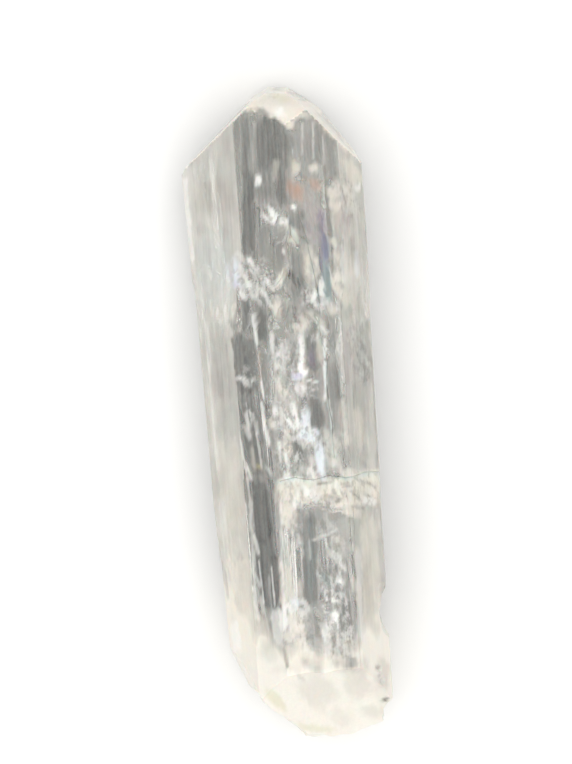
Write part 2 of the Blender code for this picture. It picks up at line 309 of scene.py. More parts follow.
crystal = {
    "cell": (8.04, 8.75),            # sides a and b of danburite's unit cell
    "ior": 1.633,
    "faces": [
        prismFace((-1, -1), [(-30, 2.45), (8.6, 2.70), (9.4, 2.95), (15.4, 3.20), (16.4, 3.36),
                             (30, 3.42)], 18, 6, 0.05, 0.15),
        prismFace((-1, 0), [(-21, 6.56), (-12.4, 6.78), (-11.6, 6.90), (-7.2, 7.10), (9.4, 7.26),
                            (11.8, 7.34), (12.6, 7.50), (21, 7.72)], 16, 5, 0.04, 0.58),
        prismFace((-1, 1), [(5.4, 8.94), (8.6, 8.88), (9.4, 8.74), (11.8, 8.68), (12.6, 8.50),
                            (15.4, 8.43)], 48, 15, 0.045, 0.62),
        prismFace((-1, 2), [(-30, 9.54), (-7.2, 9.58), (25, 9.60)], 36, 9, 0.016, 0.14),
        prismFace((0, 1), [(-30, 9.90), (-7.2, 9.98), (-6.4, 10.05), (4.6, 10.10), (5.4, 10.34),
                           (8.6, 10.40), (9.4, 10.72), (11.8, 10.80), (12.6, 11.16),
                           (15.4, 11.26), (16.4, 11.64), (30, 11.66)], 46, 13, 0.014, 0.20),
        prismFace((1, 2), [(-30, 10.88), (-7.2, 10.92), (10, 10.96)], 34, 9, 0.018, 0.16),
        prismFace((1, 1), [(-12.4, 10.16), (-6.4, 10.24), (8.6, 10.34), (9.4, 10.48),
                           (16.4, 10.60)], 32, 11, 0.05, 0.58),
        prismFace((1, 0), [(-24, 7.02), (-12.4, 7.16), (-7.2, 7.22), (-6.4, 7.30), (0.5, 7.40),
                           (8.6, 7.50), (9.4, 7.58), (15.4, 7.72)], 22, 8, 0.045, 0.40),
        prismFace((1, -1), [(-30, 2.20), (30, 2.30)], 34, 12, 0.05, 0.12),
        prismFace((1, -2), [(-30, 0.84), (30, 0.88)], 22, 8, 0.04, 0.10),
        prismFace((0, -1), [(-30, 0.0), (30, 0.0)], 12, 1, 0.0, 0.05),
        prismFace((-1, -2), [(-30, 0.80), (30, 0.80)], 30, 9, 0.04, 0.10),
    ],
    "stripsApart": 31,               # each face's strips start this many further in the noise
    "shift": (-0.0104, 0.3714, 0.0), # mm, from the middle of the resting face to the origin
    "rows": 244,
    "top": 29.5,                     # mm, before the tip is cut
    "ledgeWander": 1.3,              # mm along the crystal
    "baseRings": 26,
    "baseMiddle": (0.4, 5.0),
    "baseEnds": -18.0,               # mm along the crystal, which the base doesn't reach past
    "lumps": [(1.9, 0.50), (0.75, 0.16), (0.28, 0.05)],   # cell and height in mm
    # Each face of the tip: a point on it in mm, and how far it rises along Y for 1 mm of X and Z
    "tip": [((-2.46, 25.71, 0.0), (0.884, 0.0)), ((-7.36, 21.38, 0.0), (1.72, 0.0)),
            ((7.06, 22.12, 1.3), (-1.235, -0.05)), ((3.80, 25.92, 0.0), (-0.746, 0.0)),
            ((7.64, 20.92, 0.0), (-1.94, 0.0)), ((0.0, 24.91, 11.70), (0.0, -1.04)),
            ((0.0, 25.90, 0.0), (0.0, 1.04)), ((0.72, 27.54, 0.0), (-0.09, 0.0)),
            ((-0.43, 27.29, 0.0), (0.536, 0.0))],
    "tipStarts": 18.0,               # mm along the crystal
    "tipFacing": 0.3,                # the least that a normal of the tip points along Y
    "tipSpacing": 0.3,               # mm between the points in the tip's faces
    "tipBox": ((-7, 7.5), (20, 28), (0.5, 11.5)),         # mm along X, Y and Z, where they lie
    # Each break of the base: a point on it, the way it faces, and its ball's radius in mm
    "breaks": [((0.8, -25.0, 7.5), (0.05, -0.62, 0.78), 60.0),
               ((-5.75, -21.95, 4.6), (-0.86, -0.46, 0.20), 30.0),
               ((-3.05, -25.70, 4.6), (-0.69, -0.71, 0.12), 40.0),
               ((2.0, -28.20, 4.6), (0.0, -1.0, 0.02), 60.0),
               ((0.5, -26.6, 2.1), (-0.05, -0.72, -0.69), 26.0),
               ((4.6, -27.60, 4.6), (0.39, -0.92, 0.0), 30.0)],
    # Each chip in the right side: the same, and how many times taller than wide its ball is
    "chips": [((5.96, -26.7, 5.0), (1.0, 0.0, 0.05), 1.94, 3.0),
              ((6.30, -17.8, 5.2), (1.0, 0.0, 0.10), 3.6, 2.5),
              ((6.50, -16.2, 7.6), (0.80, 0.20, 0.56), 1.6, 1.0),
              ((6.05, -22.3, 8.20), (0.62, -0.20, 0.76), 0.42, 1.0),
              ((6.15, -23.3, 7.95), (0.62, -0.25, 0.74), 0.36, 1.0)],
    "chipRough": 0.05,               # share of the ball's radius
    # Each open crack: the places of its mouth over the front as x and y, its depth below each,
    # and how far it leads along X and Y for 1 mm of depth
    "cracks": [([(2.2, 17.3), (2.7, 15.4), (3.1, 13.0), (3.4, 10.2), (3.3, 7.0), (3.6, 4.0),
                 (3.5, 1.0), (3.7, -1.6), (3.6, -3.8)],
                [0.6, 1.6, 2.2, 2.6, 2.7, 3.0, 3.1, 2.4, 1.0], (-1.15, 0.0)),
               ([(-1.1, -5.5), (0.2, -5.2), (1.7, -5.5), (3.2, -5.3), (4.6, -5.6), (6.0, -5.3),
                 (7.7, -5.5)], [0.8, 2.2, 2.5, 2.7, 2.4, 2.2, 2.0], (0.0, -1.2))],
    "crackGrid": (64, 14),           # points along its mouth and down its wall
    "crackGape": 0.05,               # mm at its mouth
    "crackFoot": 0.008,              # mm at its foot
    "crackStandoff": 0.6,            # mm, how far its cutter stands out of the face
    "crackWave": 0.16,               # mm
}

crystalShift = np.array(crystal["shift"])


def unit(vectors):
    return vectors / np.linalg.norm(vectors, axis=-1, keepdims=True)


faceAngles = np.array([math.atan2(face.indices[0] / crystal["cell"][0],
                                  face.indices[1] / crystal["cell"][1])
                       for face in crystal["faces"]])
faceNormals = np.stack([np.sin(faceAngles), 0 * faceAngles, np.cos(faceAngles)], axis=1)
tipNormals = unit(np.array([(-slopeX, 1.0, -slopeZ) for point, (slopeX, slopeZ) in crystal["tip"]]))
tipOffsets = np.sum(tipNormals * np.array([point for point, slopes in crystal["tip"]]), axis=1)
planeNormals = np.concatenate([faceNormals, tipNormals])


def faceDistances(along):
    # Distance of every prism face at these places along the crystal, in mm
    return np.stack([np.interp(along, *np.array(face.distances, float).T)
                     for face in crystal["faces"]])


def planeDistances(along):
    # The same for every plane, those of the tip after those of the prism
    tip = np.multiply.outer(tipOffsets, np.ones_like(along))
    return np.concatenate([faceDistances(along), tip])


def cornerBetween(distance, angle, nextDistance, nextAngle):
    # The point where x sin(a) + z cos(a) = d holds for both faces
    turn = np.sin(nextAngle - angle)
    x = (nextDistance * np.cos(angle) - distance * np.cos(nextAngle)) / turn
    z = (distance * np.sin(nextAngle) - nextDistance * np.sin(angle)) / turn
    return x, z


def sectionAt(along, face, share, turn):
    # x and z of columns of points at places along the crystal: a straight line between the
    # face's corners, less a grooved relief that fades out at the corners. Growth ledges lie at
    # the place along plus a wander that changes from column to column round the turn.
    wander = noise("ledges", turn, along) - 0.5
    distances = faceDistances(along + 2 * crystal["ledgeWander"] * wander)
    count = len(crystal["faces"])
    before, after = (face - 1) % count, (face + 1) % count
    columns = np.arange(len(face))

    def distanceOf(which):
        return distances[which, ..., columns].T

    startX, startZ = cornerBetween(distanceOf(before), faceAngles[before],
                                   distanceOf(face), faceAngles[face])
    endX, endZ = cornerBetween(distanceOf(face), faceAngles[face],
                               distanceOf(after), faceAngles[after])
    strips = np.array([entry.strips for entry in crystal["faces"]])[face]
    depth = np.array([entry.depth for entry in crystal["faces"]])[face]
    strip = share * strips + face * crystal["stripsApart"]
    relief = 0.72 * noise("relief", strip, along, face, creased=True)
    relief += 0.28 * noise("fineRelief", strip, along, face, creased=True)
    relief *= depth * np.minimum(1, 7 * np.minimum(share, 1 - share))
    x = startX + (endX - startX) * share - np.sin(faceAngles[face]) * relief
    z = startZ + (endZ - startZ) * share - np.cos(faceAngles[face]) * relief
    return x, z


def ballMiddle(point, facing, radius):
    return np.array(point) + unit(np.array(facing)) * radius


def brokenBase(x, z):
    # Height of the break over the section: the highest of the balls' surfaces
    # cy + sqrt(r^2 - (x - cx)^2 - (z - cz)^2), with lumps of three sizes on it
    height = np.full(np.shape(x), -np.inf)
    for point, facing, radius in crystal["breaks"]:
        middle = ballMiddle(point, facing, radius)
        rest = np.maximum(radius ** 2 - (x - middle[0]) ** 2 - (z - middle[2]) ** 2, 0)
        height = np.maximum(height, middle[1] + np.sqrt(rest))
    for number, (cell, tall) in enumerate(crystal["lumps"]):
        height = height + tall * (noise("lumps", x / cell, z / cell, number=number) - 0.5)
    return height


def chipSide(points):
    # A point inside a chip's ball moves left to the ball's surface,
    # x = cx - sqrt(r^2 - (y - cy)^2 - ((z - cz) / stretch)^2)
    rough = 1 + crystal["chipRough"] * (noise("chips", points[:, 1], points[:, 2]) - 0.5)
    for point, facing, radius, stretch in crystal["chips"]:
        middle = ballMiddle(point, facing, radius)
        left = (radius * rough) ** 2 - (points[:, 1] - middle[1]) ** 2
        left = left - ((points[:, 2] - middle[2]) / stretch) ** 2
        surface = middle[0] - np.sqrt(np.maximum(left, 0))
        inside = (left > 0) & (points[:, 0] > surface) & (points[:, 0] < middle[0] + radius)
        points[:, 0] = np.where(inside, surface, points[:, 0])
    return points


def bodyGrid():
    # Rings of points from the middle of the broken base outwards, then up the prism
    counts = [face.columns for face in crystal["faces"]]
    face = np.repeat(np.arange(len(counts)), counts)
    share = np.concatenate([np.arange(count) / count for count in counts])
    turn = np.arange(len(face)) / len(face)
    # The prism's foot: each turn brings its height nearer to the break's
    low = np.full(len(face), crystal["breaks"][0][0][1])
    for again in range(5):
        low = brokenBase(*sectionAt(low, face, share, turn))
    along = low + (crystal["top"] - low) * np.linspace(0, 1, crystal["rows"])[:, None]
    x, z = sectionAt(along, face, share, turn)
    wall = np.stack([x, along, z], axis=-1)
    middleX, middleZ = crystal["baseMiddle"]
    ring = (np.arange(1, crystal["baseRings"]) / crystal["baseRings"])[:, None]
    capX = middleX + (x[0] - middleX) * ring
    capZ = middleZ + (z[0] - middleZ) * ring
    cap = np.stack([capX, brokenBase(capX, capZ), capZ], axis=-1)
    grid = np.concatenate([cap, wall])
    pole = np.array([[middleX, brokenBase(np.array(middleX), np.array(middleZ)), middleZ]])
    points = chipSide(np.concatenate([grid.reshape(-1, 3), pole]))
    return points, len(grid), len(face)


def cutTip(mesh):
    # Cut the tip's planes one after another and close the crystal after each
    for point, (slopeX, slopeZ) in crystal["tip"]:
        normal = Vector((-slopeX, 1.0, -slopeZ)).normalized()
        everything = mesh.verts[:] + mesh.edges[:] + mesh.faces[:]
        cut = bmesh.ops.bisect_plane(mesh, geom=everything, plane_co=Vector(point) * mm,
                                     plane_no=normal, clear_outer=True, dist=1e-8)
        rim = [item for item in cut["geom_cut"] if isinstance(item, bmesh.types.BMEdge)]
        bmesh.ops.edgenet_fill(mesh, edges=rim)
    # Points inside the tip's faces, which carry its tones
    mesh.normal_update()
    tip = [face for face in mesh.faces if face.normal.y > crystal["tipFacing"]
           and face.calc_center_median().y > crystal["tipStarts"] * mm]
    tip += list(dict.fromkeys(part for face in tip for part in (*face.verts, *face.edges)))
    for axis, (low, high) in zip(np.eye(3), crystal["tipBox"]):
        for place in np.arange(low, high, crystal["tipSpacing"]):
            cut = bmesh.ops.bisect_plane(mesh, geom=tip, plane_co=Vector(axis) * place * mm,
                                         plane_no=Vector(axis), dist=1e-8)
            tip = cut["geom"]


def frontHeight(x, y):
    # Height of the lowest of the front faces' planes over a place
    facing = faceNormals[:, 2] > 0.01
    room = faceDistances(y)[facing] - faceNormals[facing][:, 0, None] * x
    return np.min(room / faceNormals[facing][:, 2, None], axis=0)


def crackCutter(number):
    # A wedge that is as wide as the mouth above the face and closes at its foot: two walls a
    # little apart, each the mouth's line carried down the slope, and both waved by the same noise
    mouth, depths, slope = crystal["cracks"][number]
    mouth = np.array(mouth)
    rows, columns = crystal["crackGrid"]
    places = np.linspace(0, len(mouth) - 1, rows)
    x, y, depth = (np.interp(places, np.arange(len(mouth)), values)
                   for values in (mouth[:, 0], mouth[:, 1], depths))
    line = np.stack([x, y, frontHeight(x, y)], axis=-1)
    reach = mouth[-1] - mouth[0]
    down = np.array([*slope, -1.0])
    across = unit(np.cross(down, [*reach, 0.0]))
    share = np.linspace(0, 1, columns)
    under = share * (depth[:, None] + crystal["crackStandoff"]) - crystal["crackStandoff"]
    middle = line[:, None] + under[..., None] * down
    length = np.linspace(0, np.linalg.norm(reach), rows)[:, None]
    wave = crystal["crackWave"] * (noise("cracks", length, under, number=number) - 0.5)
    half = ((1 - share) * crystal["crackGape"] + crystal["crackFoot"]) / 2
    walls = [middle + (wave + side * half)[..., None] * across for side in (1, -1)]
    points = np.concatenate([walls[0], walls[1][:, ::-1]], axis=1)
    around = 2 * columns
    faces = gridFaces(rows, around, closed=True).tolist()
    faces += [list(range(around))[::-1], list(range((rows - 1) * around, rows * around))]
    data = newMesh("crackCutter", points.reshape(-1, 3), faces)
    mesh = bmesh.new()
    mesh.from_mesh(data)
    bmesh.ops.triangulate(mesh, faces=mesh.faces)
    bmesh.ops.recalc_face_normals(mesh, faces=mesh.faces)
    mesh.to_mesh(data)
    mesh.free()
    return newObject("crackCutter", data)


def crackOpen(data):
    # The mesh with every crack cut out of it
    whole = newObject("whole", data)
    cutters = [crackCutter(number) for number in range(len(crystal["cracks"]))]
    for cutter in cutters:
        cut = whole.modifiers.new("crack", "BOOLEAN")
        cut.operation = "DIFFERENCE"
        cut.solver = "MANIFOLD"
        cut.object = cutter
    seen = bpy.context.evaluated_depsgraph_get()
    cracked = bpy.data.meshes.new_from_object(whole.evaluated_get(seen))
    for leftover in [whole, *cutters]:
        bpy.data.objects.remove(leftover)
    return cracked


# The skin

skin = {
    "frostColour": (0.76, 0.745, 0.69),
    "frostVaries": 0.4,              # share of a face's frost, from place to place
    "milkColour": (0.82, 0.79, 0.72),
    "baseMilk": 1.15,                # over 1 the skin stays whole where its streaks thin it
    "milkEdge": -21.9,               # mm along the crystal, at the edge's middle
    "milkRagged": 3.0,               # mm
    "milkBow": (1.0, 0.10),          # middle in mm, and mm along for a square mm across
    "milkFade": (-1.2, 3.6),         # mm from the edge
    "brokenFacing": (0.15, 0.55),    # how far the broken surface's normals point along -Y
    "brokenPaler": 0.07,
    "tipMilk": 1.04,
    "tipBackMilk": 0.36,             # at the back of the tip, where its milk thins out
    "tipMilkFades": (2.0, 10.0),     # mm over the resting face
    "tipMilkRagged": 3.0,            # mm
    "tipWornEdge": (0.05, 0.40),     # mm from an edge, which is worn white
    "tipWornRagged": 0.3,            # mm
    "paleFlake": (0.95, 0.94, 0.90),
    "deepFlake": (0.20, 0.20, 0.18),
    "speck": (0.60, 0.59, 0.56),
    "mostCover": 0.97,               # share of the clear crystal that the skin hides at most
}


def crystalMaterial():
    # Clear crystal, under a thin cloudy skin that is as thick as "cover", has the tint's colour
    # and is mottled with pale and deep flakes where "mottle" says
    material, nodes = newMaterial("clearDanburite")
    place = nodes.place()
    cover = nodes.attribute("cover")
    lines = nodes.noise(place, (0.30, 11.0, 0.30))
    cloud = nodes.noise(place, (1.3, 3.0, 1.3), 3.0)
    grain = nodes.noise(place, (0.16, 0.22, 0.16))
    hills = nodes.noise(place, (0.7, 2.6, 0.7))
    bump = nodes.add("ShaderNodeBump", None, {"Strength": 0.12, "Distance": 0.0001,
                                              "Height": hills + lines * 0.5})
    clear = nodes.shader({
        "Base Color": colour(0.985, 0.985, 0.98), "IOR": crystal["ior"],
        "Transmission Weight": 1.0, "Normal": bump,
        "Roughness": cover * lines.step(0.35, 0.75, 0.06, 0.2) + 0.015})
    crazed = nodes.noise(place, (0.42, 0.90, 0.42), 3.0, 0.58)
    mottle = nodes.attribute("mottle")
    pale = mottle * crazed.step(0.45, 0.66)
    deep = mottle * crazed.step(0.34, 0.50, 1.0, 0.0)
    specks = (lines * 0.4 + grain * 0.35 + cloud * 0.25).step(0.36, 0.64, 0.0, 0.14)
    # The tint carries the strokes' painted shade and painted highlights as well as frost and milk
    tint = nodes.blend(specks, nodes.attribute("tint", "Color"), colour(*skin["speck"]))
    tint = nodes.blend(pale * 0.8, tint, colour(*skin["paleFlake"]))
    tint = nodes.blend(deep * 0.7, tint, colour(*skin["deepFlake"]))
    rough = nodes.add("ShaderNodeBump", None, {"Strength": 0.35, "Distance": 0.00006,
                                               "Height": grain + cloud * 2})
    cloudy = nodes.shader({"Base Color": tint, "Roughness": 0.42, "Normal": rough,
                           "Subsurface Weight": 0.30, "Subsurface Scale": 0.0008})
    # Streaks along the crystal, stronger where the tint is dark, and clouds thin the skin
    streak = (0.95 - nodes.attribute("tint")) * (lines - 0.5) * 1.5 + 1.0
    share = cover * streak * cloud.step(0.3, 0.7, 0.90, 1.08)
    share = share.atLeast(pale * 0.62).atLeast(deep * 0.5).atMost(skin["mostCover"])
    both = nodes.add("ShaderNodeMixShader", None, {0: share, 1: clear, 2: cloudy})
    inside = nodes.add("ShaderNodeVolumeAbsorption", None, {
        "Color": colour(0.84, 0.86, 0.81), "Density": 45.0})
    nodes.surface(both, inside)
    return material


# Soft tones on the skin, partly as the growth lines, cracks and veils under it show from the front and
# partly painted light: the shade, dark and black tones are painted shade for the dark streaks that the
# clear crystal shows by refraction, the stone tone is in part painted shade, and the white, ice and lilac
# tones are in part painted highlights.
# Each tone has its colour, how much of the clear crystal it covers, how soft its edges are in pixels, and
# its strokes, laid in this order: two ends and the width in pixels of the photograph, and the strength.
tones = {
    # Beige tone of the crystal, and in part painted shade, as on the broken base and the tip
    "stoneAndShade": ((0.57, 0.54, 0.48), 0.62, 6, [
        (212, 178, 216, 214, 40, 0.6), (344, 286, 352, 316, 22, 0.55), (360, 288, 362, 318, 9, 0.6),
        (309, 246, 311, 286, 13, 0.6), (356, 390, 361, 430, 20, 0.3), (367, 456, 370, 476, 10, 0.4),
        (368, 546, 371, 612, 22, 0.4), (262, 614, 270, 650, 15, 0.6), (236, 480, 240, 640, 16, 0.28),
        (304, 678, 330, 704, 30, 0.35), (352, 676, 366, 696, 26, 0.4), (345, 160, 350, 205, 18, 0.4),
        (342, 140, 346, 160, 11, 0.5), (226, 136, 232, 160, 10, 0.4), (308, 112, 332, 136, 10, 0.5),
        (262, 98, 306, 102, 12, 0.35), (330, 712, 350, 722, 16, 0.25), (362, 710, 384, 712, 12, 0.4),
        (340, 662, 360, 666, 16, 0.6), (374, 676, 386, 706, 16, 0.25), (262, 108, 268, 120, 8, 0.6),
        (346, 196, 350, 214, 12, 0.5), (292, 160, 294, 172, 8, 0.5), (286, 652, 300, 670, 16, 0.55),
        (326, 654, 344, 662, 14, 0.6), (346, 668, 356, 670, 10, 0.5), (360, 656, 364, 672, 14, 0.5),
        (382, 658, 386, 680, 12, 0.6), (352, 246, 357, 262, 12, 0.5), (350, 206, 355, 284, 14, 0.35),
        (334, 656, 366, 680, 22, 0.25), (286, 538, 292, 556, 10, 0.5), (252, 104, 256, 108, 8, 0.5),
        (270, 672, 290, 668, 8, 0.25)]),
    "rose": ((0.52, 0.46, 0.45), 0.6, 5, [
        (197, 226, 204, 234, 12, 0.45), (334, 214, 354, 222, 14, 0.55), (347, 322, 349, 384, 13, 0.45),
        (276, 402, 286, 430, 14, 0.6), (212, 366, 220, 398, 10, 0.35), (262, 198, 284, 206, 10, 0.5),
        (336, 180, 330, 206, 10, 0.4), (378, 678, 386, 688, 10, 0.35), (324, 340, 322, 400, 5, 0.6),
        (318, 160, 336, 178, 8, 0.3), (274, 150, 276, 160, 5, 0.4), (306, 194, 318, 230, 16, 0.45),
        (340, 366, 340, 350, 8, 0.4), (334, 356, 338, 380, 9, 0.4), (343, 356, 346, 386, 11, 0.4),
        (266, 188, 284, 204, 16, 0.5), (302, 188, 320, 222, 20, 0.5), (306, 204, 317, 246, 18, 0.5),
        (280, 236, 286, 262, 8, 0.55), (340, 190, 346, 238, 18, 0.5), (318, 232, 321, 214, 7, 0.4),
        (300, 128, 332, 170, 26, 0.4), (288, 190, 292, 214, 8, 0.4), (322, 354, 324, 430, 6, 0.5),
        (236, 372, 244, 400, 8, 0.3), (224, 180, 230, 240, 20, 0.25), (300, 300, 306, 322, 12, 0.3)]),
    "moss": ((0.50, 0.53, 0.46), 0.6, 6, [
        (214, 232, 218, 300, 38, 0.45), (340, 306, 350, 316, 15, 0.5), (300, 326, 324, 306, 9, 0.6),
        (306, 318, 311, 330, 7, 0.7), (292, 470, 314, 476, 14, 0.6), (354, 516, 364, 544, 26, 0.5),
        (284, 540, 290, 600, 9, 0.75), (296, 642, 306, 652, 14, 0.5), (216, 416, 236, 432, 22, 0.12),
        (326, 548, 346, 556, 14, 0.6), (282, 374, 285, 398, 10, 0.7), (290, 232, 300, 242, 9, 0.8),
        (332, 446, 334, 466, 6, 0.6), (262, 644, 276, 660, 20, 0.4), (322, 660, 334, 666, 12, 0.3)]),
    # Painted shade: grey strokes for the shade that the clear crystal shows by refraction
    "shade": ((0.29, 0.29, 0.27), 0.66, 2.5, [
        (216, 322, 226, 400, 14, 0.30), (361, 322, 368, 384, 15, 0.55), (352, 438, 357, 462, 26, 0.30),
        (248, 150, 249, 200, 14, 0.5), (264, 176, 270, 206, 24, 0.7), (297, 122, 298, 166, 4, 0.5),
        (307, 118, 307, 160, 5, 0.6), (318, 128, 319, 164, 5, 0.7), (326, 140, 327, 176, 4, 0.5),
        (331, 146, 333, 178, 6, 0.7), (291, 132, 291, 150, 6, 0.6), (240, 176, 242, 300, 4, 0.12),
        (272, 226, 286, 236, 9, 0.7), (295, 212, 297, 232, 14, 0.8), (288, 300, 290, 330, 8, 0.5),
        (285, 300, 287, 320, 5, 0.6), (300, 300, 303, 318, 10, 0.6), (295, 338, 295, 368, 6, 0.7),
        (306, 382, 318, 396, 14, 0.7), (272, 430, 281, 478, 8, 0.7), (286, 448, 288, 470, 5, 0.6),
        (330, 362, 336, 434, 11, 0.75), (333, 312, 334, 356, 6, 0.8), (322, 518, 334, 536, 16, 0.8),
        (342, 514, 344, 544, 10, 0.4), (308, 606, 313, 646, 10, 0.5), (336, 566, 344, 650, 24, 0.6),
        (343, 546, 346, 556, 7, 0.6), (293, 518, 300, 546, 9, 0.7), (276, 484, 279, 530, 4, 0.6),
        (250, 560, 254, 604, 3, 0.5), (350, 236, 353, 270, 6, 0.35), (268, 612, 276, 630, 8, 0.6),
        (346, 664, 358, 660, 8, 0.6), (377, 665, 378, 669, 4, 0.7), (379, 675, 380, 677, 4, 0.6),
        (298, 676, 304, 680, 4, 0.3), (374, 380, 378, 470, 3, 0.5), (243, 110, 252, 114, 5, 0.6),
        (222, 560, 228, 600, 3, 0.4), (264, 122, 268, 200, 34, 0.55), (316, 124, 322, 182, 36, 0.45),
        (326, 136, 336, 150, 12, 0.5), (287, 132, 290, 206, 10, 0.6), (295, 136, 299, 164, 13, 0.45),
        (309, 142, 314, 163, 11, 0.5), (246, 116, 246, 160, 5, 0.5), (280, 128, 283, 168, 7, 0.6),
        (284, 132, 292, 150, 12, 0.8), (254, 111, 268, 115, 8, 0.9), (262, 116, 280, 130, 8, 0.9),
        (343, 657, 357, 661, 4, 0.5), (346, 667, 358, 664, 4, 0.45), (316, 504, 320, 512, 8, 0.4),
        (315, 566, 320, 578, 10, 0.7), (320, 582, 324, 594, 8, 0.6), (320, 606, 323, 618, 8, 0.7),
        (294, 338, 296, 350, 8, 0.7), (296, 450, 298, 462, 8, 0.6), (346, 624, 349, 638, 8, 0.6),
        (295, 434, 297, 444, 6, 0.6), (254, 314, 262, 330, 10, 0.6), (352, 248, 356, 260, 6, 0.4),
        (284, 194, 288, 206, 8, 0.6), (276, 124, 282, 132, 6, 0.8), (340, 590, 342, 604, 7, 0.6),
        (318, 614, 322, 600, 6, 0.5), (295, 214, 297, 232, 14, 0.8), (279, 124, 281, 132, 8, 0.7),
        (312, 148, 322, 160, 10, 0.5), (282, 188, 286, 204, 7, 0.6), (314, 562, 318, 582, 12, 0.7),
        (334, 364, 336, 432, 12, 0.85), (308, 401, 324, 401, 7, 0.7), (318, 402, 322, 430, 11, 0.85),
        (300, 516, 330, 520, 16, 0.45), (311, 540, 312, 606, 15, 0.45), (290, 446, 302, 462, 14, 0.5),
        (308, 334, 313, 374, 10, 0.5), (292, 332, 296, 372, 11, 0.4), (319, 366, 321, 400, 6, 0.5),
        (354, 384, 354, 410, 2.5, 0.5), (301, 206, 303, 232, 10, 0.8), (290, 334, 296, 350, 8, 0.5),
        (316, 224, 321, 232, 8, 0.8), (363, 462, 368, 472, 6, 0.4), (334, 362, 338, 376, 6, 0.6)]),
    # Painted shade: dark strokes for the dark streaks that the clear crystal shows by refraction
    "paintedDarkShade": ((0.13, 0.135, 0.125), 0.74, 1.6, [
        (244, 116, 245, 176, 9, 0.80), (236, 320, 242, 342, 14, 0.6), (335, 340, 337, 400, 7, 0.5),
        (288, 134, 290, 168, 8, 0.45), (283, 203, 285, 212, 7, 0.5), (300, 212, 305, 216, 7, 0.5),
        (286, 280, 290, 292, 7, 0.5), (314, 376, 320, 386, 7, 0.4), (262, 117, 263, 172, 13, 0.70),
        (271, 122, 273, 166, 9, 0.70), (282, 130, 283, 205, 9, 0.80), (264, 226, 265, 262, 11, 0.75),
        (280, 240, 279, 274, 9, 0.6), (296, 250, 298, 300, 13, 0.72), (261, 292, 263, 345, 11, 0.80),
        (262, 350, 268, 396, 7, 0.7), (275, 335, 278, 392, 2.6, 0.9), (312, 332, 312, 372, 13, 0.85),
        (312, 398, 318, 430, 15, 0.8), (297, 438, 301, 462, 13, 0.75), (308, 446, 311, 464, 5, 0.6),
        (309, 514, 311, 604, 15, 0.80), (246, 478, 256, 632, 3, 0.75), (335, 172, 336, 178, 4, 0.7),
        (345, 600, 352, 640, 8, 0.5), (281, 636, 288, 668, 3, 0.85), (382, 702, 388, 697, 4, 0.8),
        (330, 590, 346, 606, 6, 0.5), (331, 340, 333, 350, 6, 0.6), (302, 214, 303, 236, 4, 0.5),
        (277, 128, 279, 150, 8, 0.9), (277, 152, 278, 176, 5, 0.8), (316, 404, 321, 428, 9, 0.6),
        (270, 119, 284, 130, 8, 0.9), (259, 308, 262, 340, 7, 0.9), (297, 440, 299, 462, 9, 0.7),
        (264, 117, 268, 124, 7, 0.9), (266, 124, 268, 200, 26, 0.35)]),
    # Painted shade: the darkest strokes, for the deepest of these streaks
    "paintedBlackShade": ((0.08, 0.085, 0.08), 0.74, 1.4, [
        (248, 172, 249, 260, 12, 0.85), (246, 296, 247, 332, 9, 0.85), (236, 336, 246, 396, 13, 0.85),
        (248, 336, 254, 394, 12, 0.80), (244, 394, 256, 432, 15, 0.80), (248, 430, 259, 478, 13, 0.85),
        (262, 430, 268, 478, 5, 0.80), (258, 480, 264, 542, 16, 0.90), (266, 490, 271, 560, 8, 0.85),
        (262, 540, 268, 610, 14, 0.90), (274, 556, 275, 614, 8, 0.90)]),
    "violet": ((0.20, 0.15, 0.24), 0.75, 3, [
        (322, 210, 323, 232, 9, 0.8), (322, 220, 324, 234, 8, 0.6), (311, 350, 312, 368, 9, 0.5),
        (306, 222, 314, 236, 7, 0.4)]),
    "navy": ((0.13, 0.15, 0.25), 0.80, 3, [
        (324, 232, 326, 260, 9, 0.85), (311, 240, 317, 244, 5, 0.4)]),
    "teal": ((0.20, 0.29, 0.29), 0.75, 2.5, [
        (326, 262, 328, 302, 9, 0.85), (268, 345, 270, 366, 4, 0.5), (322, 574, 334, 588, 10, 0.5),
        (310, 520, 311, 600, 6, 0.25), (326, 436, 327, 472, 4, 0.6), (268, 474, 274, 478, 4, 0.5)]),
    "rust": ((0.49, 0.30, 0.22), 0.68, 4, [
        (289, 178, 291, 190, 4, 0.6), (293, 186, 303, 190, 11, 0.6), (291, 197, 303, 198, 7, 0.7),
        (259, 348, 261, 392, 3, 0.4), (296, 186, 301, 192, 6, 0.7), (310, 179, 319, 189, 10, 0.65),
        (290, 184, 302, 198, 14, 0.45)]),
    "olive": ((0.58, 0.55, 0.30), 0.65, 4, [
        (257, 466, 262, 467, 5, 0.8), (266, 690, 286, 708, 9, 0.35), (298, 726, 334, 731, 7, 0.3),
        (276, 97, 290, 100, 7, 0.25), (293, 158, 297, 174, 7, 0.3)]),
    "cream": ((0.86, 0.81, 0.71), 0.80, 3.5, [
        (278, 490, 300, 489, 24, 0.9), (280, 508, 296, 512, 16, 0.8), (296, 488, 336, 486, 20, 0.9),
        (300, 499, 312, 498, 12, 0.7), (330, 494, 386, 487, 28, 0.85), (344, 508, 360, 512, 14, 0.8),
        (356, 480, 386, 474, 14, 0.7), (284, 514, 292, 530, 12, 0.7), (276, 160, 276, 180, 6, 0.5),
        (296, 160, 298, 174, 8, 0.5), (312, 164, 316, 172, 8, 0.8), (345, 184, 352, 206, 9, 0.5),
        (276, 284, 288, 267, 7, 0.9), (316, 258, 317, 276, 4, 0.7), (307, 256, 308, 276, 3, 0.6),
        (276, 298, 278, 318, 7, 0.7), (294, 324, 301, 332, 9, 0.6), (293, 612, 299, 638, 17, 0.8),
        (326, 632, 331, 638, 6, 0.7), (283, 222, 294, 232, 7, 0.8), (276, 110, 288, 122, 9, 0.6),
